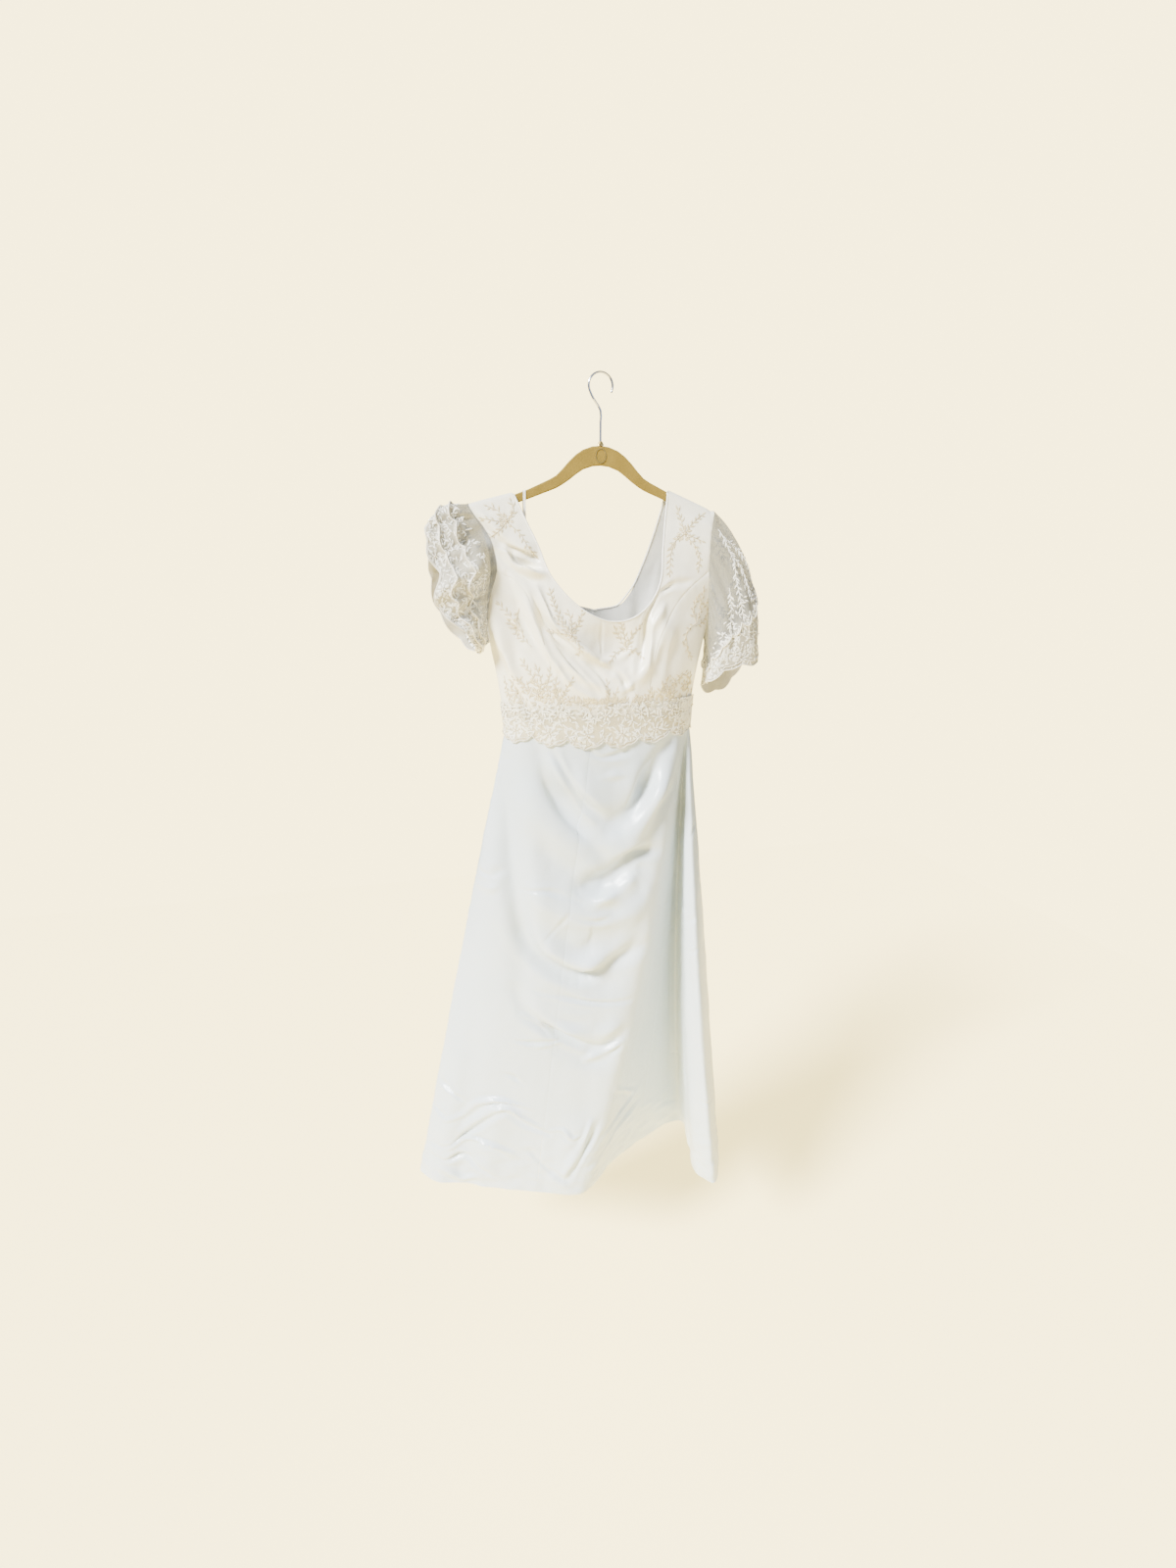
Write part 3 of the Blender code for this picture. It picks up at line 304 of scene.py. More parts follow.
# Acetate lining, plain weave: matt and a little greyer than the face
def acetateLining():
    made, tree, shader = newFinish("acetateLining", {"IOR": 1.48})
    cut = addNode(tree, "ShaderNodeUVMap", {"uv_map": "cut"})
    threads = addNoise(tree, 1400.0, 1.0, cut)
    broad = addNoise(tree, 40.0, 3.0, cut)
    tone = addBlend(tree, "EEEDE4", "DCDBD2", broad)
    gloss = addRange(tree, threads, ToMin=0.5, ToMax=0.7)
    bump = addBump(tree, 0.3, 0.0002, threads)
    drive(tree, shader, {"Base Color": tone, "Roughness": gloss, "Normal": bump})
    return made


# Silk organza: a crisp sheer plain weave. Where it is single its colour is a painted dark grey,
# painted shade for the shaded inside of the sleeve seen through it. The attribute "fill" is how
# thickly the embroidery covers it.
def sheerCloth(name, pale, shade, openAlpha, fullAlpha, spacing, net=False):
    made, tree, shader = newFinish(name, {"IOR": 1.5, "Roughness": 0.5, "Sheen Weight": 0.25,
                                          "Sheen Roughness": 0.4})
    cut = addNode(tree, "ShaderNodeUVMap", {"uv_map": "cut"})
    fill = addNode(tree, "ShaderNodeAttribute", {"attribute_name": "fill"})
    if net:
        cells = addNode(tree, "ShaderNodeTexVoronoi",
                        {"feature": "DISTANCE_TO_EDGE", "Scale": 1 / spacing,
                         "Randomness": 0.35}, {"Vector": cut})
        threads = addRange(tree, cells, FromMin=0.05, FromMax=0.16, ToMin=1.0, ToMax=0.0)
    else:
        cells = addNoise(tree, 1 / spacing, 2.0, cut)
        threads = addRange(tree, cells, FromMin=0.35, FromMax=0.65)
    cover = addRange(tree, threads, ToMin=openAlpha, ToMax=openAlpha + 0.16)
    mixed = addRange(tree, (fill, "Fac"), ToMax=fullAlpha)
    drive(tree, mixed, {"To Min": cover})
    blotch = addNoise(tree, 260.0, 4.0, cut)
    stitched = addNode(tree, "ShaderNodeMath", {"operation": "MULTIPLY"},
                       {0: blotch, 1: (fill, "Fac")})
    # single cloth takes the second colour: for the organza this dark grey is painted shade
    tone = addBlend(tree, shade, pale, (fill, "Fac"))
    bump = addBump(tree, 0.6, 0.0012, stitched)
    drive(tree, shader, {"Base Color": tone, "Alpha": mixed, "Normal": bump})
    return made


# Rayon embroidery floss in satin stitch: ivory, with a gold thread worked round the rim, painted
# far darker than gold so that it also paints shade along the edges of each raised stitch. The map
# runs across (0 to 1) and along each stitched shape, and "tone" differs for each one.
def embroideryFloss(name, pale, goldAndEdgeShade, goldAndShadeShare):
    made, tree, shader = newFinish(name, {"IOR": 1.53, "Roughness": 0.42,
                                          "Sheen Weight": 0.2, "Sheen Roughness": 0.3})
    cut = addNode(tree, "ShaderNodeUVMap", {"uv_map": "cut"})
    split = addNode(tree, "ShaderNodeSeparateXYZ", None, {0: cut})
    centred = addNode(tree, "ShaderNodeMath", {"operation": "SUBTRACT", 1: 0.5}, {0: (split, "X")})
    away = addNode(tree, "ShaderNodeMath", {"operation": "ABSOLUTE"}, {0: centred})
    # the rim's dark colour is gold thread and painted shade at the stitch's edges
    rimGoldAndShade = addRange(tree, away, FromMin=0.14, FromMax=0.40, ToMin=0.0, ToMax=goldAndShadeShare)
    tone = addNode(tree, "ShaderNodeAttribute", {"attribute_name": "tone"})
    amount = addNode(tree, "ShaderNodeMath", {"operation": "MULTIPLY"},
                     {0: rimGoldAndShade, 1: (tone, "Fac")})
    colour = addBlend(tree, pale, goldAndEdgeShade, amount)
    stitches = addNode(tree, "ShaderNodeTexWave", {"bands_direction": "Y", "Scale": 3.2,
                                                   "Distortion": 1.0}, {"Vector": cut})
    bump = addBump(tree, 0.5, 0.0003, (stitches, 1))
    drive(tree, shader, {"Base Color": colour, "Normal": bump})
    return made


# Twisted cord couched along the scalloped edges, about one twist in 1.5 mm. Its grooves take the
# darker colour: painted shade where the bump is lowest.
def twistedCord(name, pale, shade):
    made, tree, shader = newFinish(name, {"IOR": 1.53, "Roughness": 0.45,
                                          "Sheen Weight": 0.2, "Sheen Roughness": 0.3})
    cut = addNode(tree, "ShaderNodeUVMap", {"uv_map": "cut"})
    turn = addNode(tree, "ShaderNodeMapping", {"Scale": (1.0, 1 / 0.0015, 1.0)},
                   {"Vector": cut})
    twist = addNode(tree, "ShaderNodeTexWave", {"bands_direction": "DIAGONAL", "Scale": 0.314},
                    {"Vector": turn})
    # painted shade: the darker colour follows the low parts of the twist's bump
    colour = addBlend(tree, shade, pale, (twist, 1))
    bump = addBump(tree, 0.6, 0.0003, (twist, 1))
    drive(tree, shader, {"Base Color": colour, "Normal": bump})
    return made


# Flocked plastic: a short upright nylon pile, so it is matt with a pale bloom at the edges
def flockedPile():
    made, tree, shader = newFinish("flockedPile", {"IOR": 1.45, "Sheen Weight": 0.3,
                                                   "Sheen Roughness": 0.4,
                                                   "Sheen Tint": fromHex("F0DDA4")})
    place = addNode(tree, "ShaderNodeTexCoord")
    pile = addNoise(tree, 900.0, 2.0, (place, "Object"))
    rubbed = addNoise(tree, 34.0, 4.0, (place, "Object"))
    colour = addBlend(tree, "6E5A15", "8B7428", rubbed)
    gloss = addRange(tree, pile, ToMin=0.75, ToMax=0.95)
    bump = addBump(tree, 0.8, 0.0004, pile)
    drive(tree, shader, {"Base Color": colour, "Roughness": gloss, "Normal": bump})
    return made


# Plated metal: chrome on the wire, pale gilt on the ferrule and the oval, with handling marks
def platedMetal(name, colour, rough):
    made, tree, shader = newFinish(name, {"Metallic": 1.0, "Base Color": fromHex(colour)})
    place = addNode(tree, "ShaderNodeTexCoord")
    marks = addNoise(tree, 260.0, 3.0, (place, "Object"))
    gloss = addRange(tree, marks, ToMin=rough * 0.7, ToMax=rough * 1.5)
    drive(tree, shader, {"Roughness": gloss})
    return made


# Cut glass and pearl beads: a hard bright skin
def beadGlass(name, colour, rough):
    made, tree, shader = newFinish(name, {"IOR": 1.55, "Coat Weight": 0.6,
                                          "Coat Roughness": 0.08})
    place = addNode(tree, "ShaderNodeTexCoord")
    grain = addNoise(tree, 180.0, 2.0, (place, "Object"))
    tone = addBlend(tree, colour, "FFF6DC", grain)
    gloss = addRange(tree, grain, ToMin=rough, ToMax=rough + 0.15)
    drive(tree, shader, {"Base Color": tone, "Roughness": gloss})
    return made


finishes = {
    "bodiceSatin": bridalSatin("bodiceSatin", "FFFAE2", "F6F1DE", 0.30),
    # the skirt's satin is the bodice's satin painted cooler and greyer: painted cool shade
    "skirtSatinPaintedShade": bridalSatin("skirtSatinPaintedShade", "DAE2E4", "CAD6DC", 0.31),
    "lining": acetateLining(),
    # the organza's dark grey 8B8B84 where it is single is painted shade
    "organza": sheerCloth("silkOrganza", "C2BCA6", "8B8B84", 0.40, 0.82, 0.0006),
    "laceNet": sheerCloth("laceNet", "DACFA8", "DFD7BA", 0.04, 0.86, 0.0021, net=True),
    # the dark rim colours below are gold thread and painted shade at the edges of the stitches
    "floss": embroideryFloss("ivoryFloss", "EBDBAC", "4A3A16", 0.9),
    "laceFloss": embroideryFloss("laceFloss", "FFFCE8", "6B5224", 0.9),
    "sleeveFloss": embroideryFloss("sleeveFloss", "FFFDF0", "94814E", 0.9),
    "edgeCord": twistedCord("edgeCord", "FBF8EC", "D9D0B4"),
    "pipingSatin": twistedCord("pipingSatin", "FBF8EE", "F1EDDF"),
    "bead": beadGlass("goldGlassBead", "C9AE74", 0.12),
    "pearl": beadGlass("seedPearl", "EFE6CF", 0.22),
    "flock": flockedPile(),
    "chrome": platedMetal("chromePlate", "D2D2D0", 0.14),
    "gilt": platedMetal("giltPlate", "E2C67A", 0.26),
}
print("materials:", len(finishes))


def seatSheet(node):
    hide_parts(node)


# Closed thin cloth

def metricUv(points, ring):
    ahead = np.linalg.norm(np.diff(points, axis=1), axis=2).mean(axis=0)
    if ring:
        ahead = np.append(ahead, np.linalg.norm(points[:, 0] - points[:, -1], axis=1).mean())
    down = np.linalg.norm(np.diff(points, axis=0), axis=2).mean(axis=1)
    u = np.concatenate([[0.0], np.cumsum(ahead)])
    v = down.sum() - np.concatenate([[0.0], np.cumsum(down)])
    return np.stack(np.meshgrid(u, v), axis=-1)


def clothWall(name, outer, inner, facing, lining=None, ring=False, fill=None):
    rows, columns = outer.shape[:2]
    count = rows * columns
    ids = np.arange(count).reshape(rows, columns)
    if ring:
        ids = np.concatenate([ids, ids[:, :1]], axis=1)
    uv = metricUv(outer, ring)

    def quads(grid):
        return np.stack([grid[:-1, :-1], grid[:-1, 1:], grid[1:, 1:], grid[1:, :-1]], axis=2)

    near, nearUv = quads(ids).reshape(-1, 4), quads(uv).reshape(-1, 4, 2)
    far, farUv = near[:, ::-1] + count, nearUv[:, ::-1]
    rims, rimUvs = [], []
    edges = [(ids[0, ::-1], uv[0, ::-1]), (ids[-1], uv[-1])]
    if not ring:
        edges += [(ids[:, 0], uv[:, 0]), (ids[::-1, -1], uv[::-1, -1])]
    for line, lineUv in edges:
        rims.append(np.stack([line[:-1], line[1:], line[1:] + count, line[:-1] + count], axis=1))
        rimUvs.append(np.stack([lineUv[:-1], lineUv[1:], lineUv[1:], lineUv[:-1]], axis=1))
    faces = np.concatenate([near, far] + rims)
    corners = np.concatenate([nearUv, farUv] + rimUvs).reshape(-1, 2)
    mesh = bpy.data.meshes.new(name)
    mesh.from_pydata(np.vstack([outer.reshape(-1, 3), inner.reshape(-1, 3)]).tolist(), [],
                     faces.tolist())
    layer = mesh.uv_layers.new(name="cut")
    layer.data.foreach_set("uv", corners.ravel())
    if fill is not None:
        shade = mesh.attributes.new("fill", "FLOAT", "POINT")
        shade.data.foreach_set("value", np.tile(fill.ravel(), 2).astype(np.float32))
    mesh.materials.append(facing)
    mesh.materials.append(lining or facing)
    side = np.zeros(len(faces), dtype=np.int32)
    side[len(near):len(near) * 2] = 1
    mesh.polygons.foreach_set("material_index", side)
    return finishMesh(name, mesh)


def finishMesh(name, mesh, sharp=60.0):
    mesh.calc_loop_triangles()
    places = np.zeros(len(mesh.vertices) * 3)
    mesh.vertices.foreach_get("co", places)
    places = places.reshape(-1, 3)
    corners = np.zeros(len(mesh.loop_triangles) * 3, dtype=np.int32)
    mesh.loop_triangles.foreach_get("vertices", corners)
    a, b, c = (places[corners.reshape(-1, 3)[:, k]] for k in range(3))
    if (a * np.cross(b, c)).sum() < 0:  # the closed wall points inwards
        mesh.flip_normals()
    mesh.shade_smooth()
    mesh.set_sharp_from_angle(angle=math.radians(sharp))
    piece = bpy.data.objects.new(name, mesh)
    bpy.context.scene.collection.objects.link(piece)
    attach(piece, "root")
    print(name, len(mesh.loop_triangles), "triangles")
    return piece


def sweep(name, rings, finish, closed=False):
    rings = np.asarray(rings)
    count, sides = rings.shape[:2]
    ids = np.arange(count * sides).reshape(count, sides)
    ids = np.concatenate([ids, ids[:, :1]], axis=1)
    if closed:
        ids = np.concatenate([ids, ids[:1]])
    faces = np.stack([ids[:-1, :-1], ids[:-1, 1:], ids[1:, 1:], ids[1:, :-1]], axis=2)
    faces = faces.reshape(-1, 4).tolist()
    if not closed:
        faces.append(list(range(sides))[::-1])
        faces.append([(count - 1) * sides + s for s in range(sides)])
    mesh = bpy.data.meshes.new(name)
    mesh.from_pydata(rings.reshape(-1, 3).tolist(), [], faces)
    mesh.materials.append(finish)
    lengths = np.linalg.norm(np.diff(rings.mean(axis=1), axis=0), axis=1)
    run = np.concatenate([[0.0], np.cumsum(lengths)])
    layer = mesh.uv_layers.new(name="cut")
    corners = np.zeros(len(mesh.loops), dtype=np.int32)
    mesh.loops.foreach_get("vertex_index", corners)
    uv = np.stack([corners % sides / sides, run[corners // sides]], axis=1)
    layer.data.foreach_set("uv", uv.ravel())
    return finishMesh(name, mesh)


stitching = {
    "width": 0.0022,
    "gatherStep": 0.0052,
    "gatherSway": 0.021,
    "gatherReach": 0.007,
}


# Stitched dip with small gathers along the given edges of a panel's grid
def seamDip(points, sides, depth=0.0007, pucker=0.0005):
    dip = np.zeros(points.shape[:2])
    for side in sides:
        axis = 1 if side in ("left", "right") else 0
        steps = np.linalg.norm(np.diff(points, axis=axis), axis=2)
        run = np.insert(np.cumsum(steps, axis=axis), 0, 0.0, axis=axis)
        if side in ("right", "bottom"):
            run = run.take([-1], axis=axis) - run
        slant = points[..., 2] + 0.6 * points[..., 0]
        sway = np.sin(slant / stitching["gatherSway"])
        gather = np.sin(slant / stitching["gatherStep"] + 3 * sway)
        dip -= depth * np.exp(-((run / stitching["width"]) ** 2))
        dip += pucker * gather * np.exp(-run / stitching["gatherReach"])
    return dip


# Bodice: panels from their pattern lines, as depths over (x, z)

bodice = {
    "underarmZ": -0.455,
    "waistZ": -0.615,
    "seamHalfGap": 0.00012,
    "frontSections": (
        (-0.185, -0.2400, 0.2220, 0.000, 0.000, 0.000),
        (-0.225, -0.2350, 0.2190, -0.004, -0.004, -0.005),
        (-0.255, -0.2120, 0.2105, -0.010, -0.011, -0.014),
        (-0.290, -0.1980, 0.2060, -0.016, -0.018, -0.028),
        (-0.330, -0.1930, 0.2050, -0.020, -0.023, -0.041),
        (-0.370, -0.2040, 0.2070, -0.018, -0.021, -0.050),
        (-0.410, -0.2090, 0.2100, -0.011, -0.013, -0.056),
        (-0.455, -0.2060, 0.2080, 0.001, 0.001, -0.060),
        (-0.500, -0.1970, 0.2000, 0.005, 0.005, -0.063),
        (-0.555, -0.1880, 0.1920, 0.009, 0.009, -0.063),
        (-0.615, -0.1810, 0.1880, 0.012, 0.012, -0.060),
    ),
    "backSections": (
        (-0.185, -0.2400, 0.2220, 0.000, 0.000, 0.000),
        (-0.225, -0.2350, 0.2190, 0.004, 0.004, 0.005),
        (-0.255, -0.2140, 0.2110, 0.011, 0.011, 0.012),
        (-0.290, -0.2020, 0.2070, 0.018, 0.018, 0.022),
        (-0.330, -0.1980, 0.2060, 0.021, 0.023, 0.031),
        (-0.370, -0.2050, 0.2075, 0.019, 0.021, 0.038),
        (-0.410, -0.2090, 0.2100, 0.012, 0.013, 0.044),
        (-0.455, -0.2060, 0.2080, 0.001, 0.001, 0.048),
        (-0.500, -0.1970, 0.2000, 0.005, 0.005, 0.051),
        (-0.555, -0.1880, 0.1920, 0.009, 0.009, 0.053),
        (-0.615, -0.1810, 0.1880, 0.012, 0.012, 0.054),
    ),
    "sectionRoundness": 2.4,
    "sideSeamBluntness": 0.6,
    "armholeBluntness": 1.0,
    "armholeBlend": 0.07,
    "slopeStep": 0.0004,
    # small unevenness of the cloth: height, size, shift of the noise
    "relief": ((0.0011, 0.045, 0.0), (0.0006, 0.018, 4.0)),
    "leftShoulder": ((-0.236, -0.2185), (-0.200, -0.2085), (-0.160, -0.1980)),
    "rightShoulder": ((0.1285, -0.1878), (0.172, -0.2048), (0.219, -0.2245)),
    "frontNeckline": (
        (-0.160, -0.198),
        (-0.1415, -0.243),
        (-0.121, -0.288),
        (-0.104, -0.334),
        (-0.067, -0.381),
        (-0.029, -0.408),
        (0.006, -0.419),
        (0.037, -0.417),
        (0.076, -0.394),
        (0.1035, -0.352),
        (0.113, -0.290),
        (0.123, -0.225),
        (0.1285, -0.1878),
    ),
    "backNeckline": (
        (-0.160, -0.198),
        (-0.132, -0.254),
        (-0.098, -0.318),
        (-0.066, -0.372),
        (-0.052, -0.386),
        (0.000, -0.402),
        (0.055, -0.388),
        (0.068, -0.372),
        (0.092, -0.318),
        (0.112, -0.254),
        (0.1285, -0.1878),
    ),
    "leftPrincess": ((-0.1925, -0.330), (-0.158, -0.350), (-0.134, -0.395), (-0.117, -0.447),
                     (-0.104, -0.505), (-0.088, -0.560), (-0.074, -0.615)),
    "rightPrincess": ((0.2050, -0.330), (0.155, -0.368), (0.120, -0.412), (0.096, -0.455),
                      (0.084, -0.515), (0.079, -0.565), (0.077, -0.615)),
    "bodiceFolds": (
        (-0.212, -0.262, -0.122, -0.322, -0.008, -0.012, 0.013),
        (-0.205, -0.248, -0.128, -0.296, -0.010, 0.007, 0.015),
        (-0.150, -0.350, 0.000, -0.500, -0.016, 0.009, 0.012),
        (-0.128, -0.375, 0.005, -0.530, -0.014, -0.009, 0.013),
        (-0.110, -0.430, -0.010, -0.540, -0.010, 0.007, 0.012),
        (0.108, -0.395, 0.052, -0.530, 0.014, 0.008, 0.014),
    ),
    "neckHollow": (0.012, -0.462, 0.052, 0.042, 0.020),
    "shoulderLift": 0.0045,
    "shoulderClearance": 0.0060,
    "shoulderRoll": 0.005,
    "shoulderFlat": 0.030,
    "rollFadeStart": 0.045,
    "rollFadeLength": 0.09,
    "ridgeDrops": (0.003, 0.008),
    "strapRows": 40,
    "firstStrapShare": 0.16,
    "princessRows": 60,
    "waistRows": 54,
    "frontColumns": 64,
    "leftNeckStops": (0.245, 0.400),
    "rightNeckStops": (0.247, 0.412),
    "sideColumns": 44,
    "backArmholeRows": 44,
    "firstBackShare": 0.12,
    "backSideRows": 36,
    "backWaistRows": 30,
    "backColumns": 46,
    "backNeckStops": (0.66, 0.80),
    "pipingRadius": 0.0016,
    "pipingSides": 10,
    "touchGap": 0.0003,
    "satinWall": 0.0009,
    # creases as height, half width and the (x, z) points that they run through
    "creases": (
        (-0.0094, 0.0055, ((-0.233, -0.228), (-0.209, -0.26), (-0.179, -0.287), (-0.147, -0.3),
                           (-0.121, -0.309))),
        (0.0122, 0.006, ((-0.179, -0.294), (-0.166, -0.318), (-0.138, -0.332), (-0.107, -0.335))),
        (-0.0043, 0.004, ((-0.173, -0.302), (-0.144, -0.318), (-0.11, -0.328))),
        (-0.0083, 0.0055, ((-0.158, -0.36), (-0.133, -0.384), (-0.114, -0.42), (-0.078, -0.452),
                           (-0.034, -0.482), (0.005, -0.509))),
        (0.0072, 0.006, ((-0.126, -0.356), (-0.11, -0.402), (-0.086, -0.441), (-0.045, -0.473),
                         (-0.002, -0.498))),
        (0.0058, 0.005, ((-0.115, -0.434), (-0.079, -0.461), (-0.04, -0.497), (-0.011, -0.531),
                         (-0.002, -0.554))),
        (-0.0058, 0.005, ((-0.101, -0.452), (-0.073, -0.485), (-0.043, -0.518), (-0.02, -0.545))),
        (0.0043, 0.006, ((-0.101, -0.481), (-0.072, -0.525), (-0.027, -0.556))),
        (0.0043, 0.006, ((-0.01, -0.489), (0.024, -0.485), (0.055, -0.463))),
        (-0.0043, 0.006, ((-0.002, -0.498), (0.028, -0.521), (0.036, -0.555))),
        (-0.0058, 0.005, ((0.098, -0.371), (0.075, -0.411), (0.07, -0.448), (0.06, -0.492),
                          (0.042, -0.529))),
        (0.0058, 0.006, ((0.11, -0.39), (0.087, -0.426), (0.082, -0.463), (0.074, -0.499))),
        (0.0043, 0.006, ((0.053, -0.499), (0.04, -0.533), (0.02, -0.547))),
        (-0.0067, 0.0055, ((-0.176, -0.334), (-0.165, -0.37), (-0.149, -0.42), (-0.126, -0.466),
                           (-0.1, -0.508))),
        (0.0058, 0.006, ((-0.167, -0.339), (-0.141, -0.381), (-0.128, -0.423), (-0.115, -0.459),
                         (-0.094, -0.499))),
        (-0.0072, 0.005, ((-0.185, -0.475), (-0.173, -0.523), (-0.154, -0.56), (-0.13, -0.609))),
        (0.0058, 0.008, ((-0.201, -0.367), (-0.194, -0.431), (-0.178, -0.482), (-0.158, -0.533))),
        (0.0043, 0.006, ((-0.193, -0.388), (-0.166, -0.416), (-0.143, -0.459))),
        (-0.0043, 0.006, ((0.102, -0.368), (0.132, -0.353), (0.163, -0.349))),
        (-0.0014, 0.003, ((-0.01, -0.421), (-0.009, -0.483))),
        (-0.0075, 0.017, ((-0.158, -0.36), (-0.133, -0.39), (-0.114, -0.425), (-0.082, -0.46),
                          (-0.04, -0.49))),
        (-0.0070, 0.014, ((-0.181, -0.345), (-0.171, -0.38), (-0.155, -0.43), (-0.132, -0.476),
                          (-0.106, -0.515))),
        (0.0050, 0.014, ((-0.205, -0.38), (-0.195, -0.43), (-0.178, -0.48), (-0.155, -0.53))),
        (0.0045, 0.013, ((-0.112, -0.385), (-0.088, -0.425), (-0.05, -0.46), (-0.01, -0.48))),
        (-0.0050, 0.012, ((0.092, -0.38), (0.074, -0.42), (0.068, -0.46), (0.055, -0.50))),
        (0.0045, 0.014, ((0.135, -0.40), (0.12, -0.45), (0.11, -0.50), (0.10, -0.54))),
    ),
    "backCreases": (
        (-0.003, 0.008, ((-0.13, -0.30), (-0.115, -0.38), (-0.12, -0.47))),
        (0.003, 0.009, ((-0.095, -0.33), (-0.085, -0.42), (-0.09, -0.50))),
        (-0.003, 0.008, ((0.125, -0.31), (0.115, -0.40), (0.118, -0.49))),
        (0.0025, 0.009, ((0.09, -0.35), (0.085, -0.44), (0.08, -0.52))),
        (-0.0025, 0.007, ((-0.16, -0.50), (-0.10, -0.53), (-0.03, -0.52))),
        (-0.0025, 0.007, ((0.15, -0.50), (0.10, -0.525), (0.04, -0.52))),
    ),
}


def shoulderHeight(x):
    left, right = np.array(bodice["leftShoulder"]), np.array(bodice["rightShoulder"])
    line = np.where(
        x < 0, np.interp(x, left[:, 0], left[:, 1]), np.interp(x, right[:, 0], right[:, 1])
    )
    arm = np.array(hanger["hangerArm"])
    return np.maximum(line, np.interp(np.abs(x), arm[:, 0], arm[:, 1]) + bodice["shoulderLift"])


def foldRise(x, z, folds):
    rise = np.zeros(np.broadcast(x, z).shape)
    for x0, z0, x1, z1, bow, height, width in folds:
        run = np.array([x1 - x0, z1 - z0])
        length = np.hypot(*run)
        run /= length
        share = ((x - x0) * run[0] + (z - z0) * run[1]) / length
        off = (z - z0) * run[0] - (x - x0) * run[1] - bow * np.sin(np.pi * np.clip(share, 0, 1))
        ends = smoothStep((share + 0.1) / 0.3) * smoothStep((1.1 - share) / 0.3)
        rise += height * ends * np.exp(-((off / width) ** 2))
    return rise


def bodiceY(x, z, face):
    x, z = np.asarray(x, float), np.asarray(z, float)
    left, right, yLeft, yRight, yMid = np.moveaxis(
        tableAt(bodice["frontSections"] if face < 0 else bodice["backSections"], z), -1, 0
    )
    if face > 0:
        seam = tableAt(bodice["frontSections"], z)
        yLeft = np.where(z < bodice["underarmZ"], seam[..., 2], yLeft)
        yRight = np.where(z < bodice["underarmZ"], seam[..., 3], yRight)
    share = np.clip((2 * x - left - right) / (right - left), -1.0, 1.0)
    edge = yLeft + (yRight - yLeft) * (share + 1) / 2
    above = smoothStep((z - bodice["underarmZ"]) / bodice["armholeBlend"])
    side, arm = bodice["sideSeamBluntness"], bodice["armholeBluntness"]
    blunt = side + (arm - side) * above
    roundOff = (1 - np.abs(share) ** bodice["sectionRoundness"]) ** blunt
    depth = edge + (yMid - edge) * roundOff
    drop = shoulderHeight(x) - z
    if face < 0:
        hollowX, hollowZ, halfX, halfZ, dent = bodice["neckHollow"]
        hollow = dent * np.exp(-(((x - hollowX) / halfX) ** 2) - ((z - hollowZ) / halfZ) ** 2)
        folds = foldRise(x, z, bodice["bodiceFolds"])
        depth = depth + (hollow - folds) * smoothStep(roundOff / 0.6)
    rolled = np.clip(drop / bodice["shoulderRoll"], 0, 1)
    roll = bodice["shoulderClearance"] * np.sin(rolled * math.pi / 2)
    roll = roll * (1 - smoothStep((drop - bodice["rollFadeStart"]) / bodice["rollFadeLength"]))
    return depth * smoothStep(drop / bodice["shoulderFlat"]) + face * roll


def bodiceSurface(flat, face):
    x, z = flat[..., 0], flat[..., 1]
    step = bodice["slopeStep"]
    y = bodiceY(x, z, face)
    slopeX = (bodiceY(x + step, z, face) - bodiceY(x - step, z, face)) / (2 * step)
    slopeZ = (bodiceY(x, z + step, face) - bodiceY(x, z - step, face)) / (2 * step)
    points = np.stack([x, y, z], axis=-1)
    return points, unit(face * np.stack([-slopeX, np.ones_like(x), -slopeZ], axis=-1))


def edgePoints(face, side, heights):
    columns = tableAt(bodice["frontSections"] if face < 0 else bodice["backSections"], heights)
    return np.stack([columns[:, 0 if side < 0 else 1], heights], axis=1)


def downFromRidge(total, first, last, rows):
    ridge = [0.0] + [drop / total for drop in bodice["ridgeDrops"]]
    return np.concatenate([ridge, np.linspace(first, last, rows)])


def armholeEdge(face, side, tip, low, first, rows):
    drop = tip[1] - low
    line = edgePoints(face, side, tip[1] - drop * downFromRidge(drop, first, 1.0, rows))
    line[0] = tip
    return line


def onRidge(point):
    return np.array([point[0], float(shoulderHeight(point[0]))])


def bodiceDetail(points, face):
    x, z = points[..., 0], points[..., 2]
    creases = bodice["creases"] if face < 0 else bodice["backCreases"]
    rise = creaseRise(x, z, creases)
    rise = rise + unevenness(points, bodice["relief"])
    left, right = np.moveaxis(tableAt(bodice["frontSections"], z), -1, 0)[:2]
    inset = np.minimum(x - left, right - x)
    below = smoothStep((bodice["underarmZ"] + 0.03 - z) / 0.03)
    sides = 1 - below * (1 - smoothStep(inset / 0.014))
    ridge = smoothStep((shoulderHeight(x) - z) / 0.03)
    waist = smoothStep((z - bodice["waistZ"]) / 0.012)
    return rise * sides * ridge * waist


def settleRidge(points, normals, rows, face):
    for row in rows:
        normals[row] = (0.0, 0.0, 1.0)
        points[row, :, 1] = face * bodice["seamHalfGap"]


def settleWaist(points, normals, rows, column):
    normals[rows, column, 2] = 0.0
    normals[rows, column] = unit(normals[rows, column])
    points[rows, column, 2] += bodice["seamHalfGap"]


def settleSide(points, normals, rows, column, face):
    normals[rows, column] = np.sign(points[rows, column, :1]) * np.array([[1.0, 0.0, 0.0]])
    points[rows, column, 1] += face * bodice["seamHalfGap"]


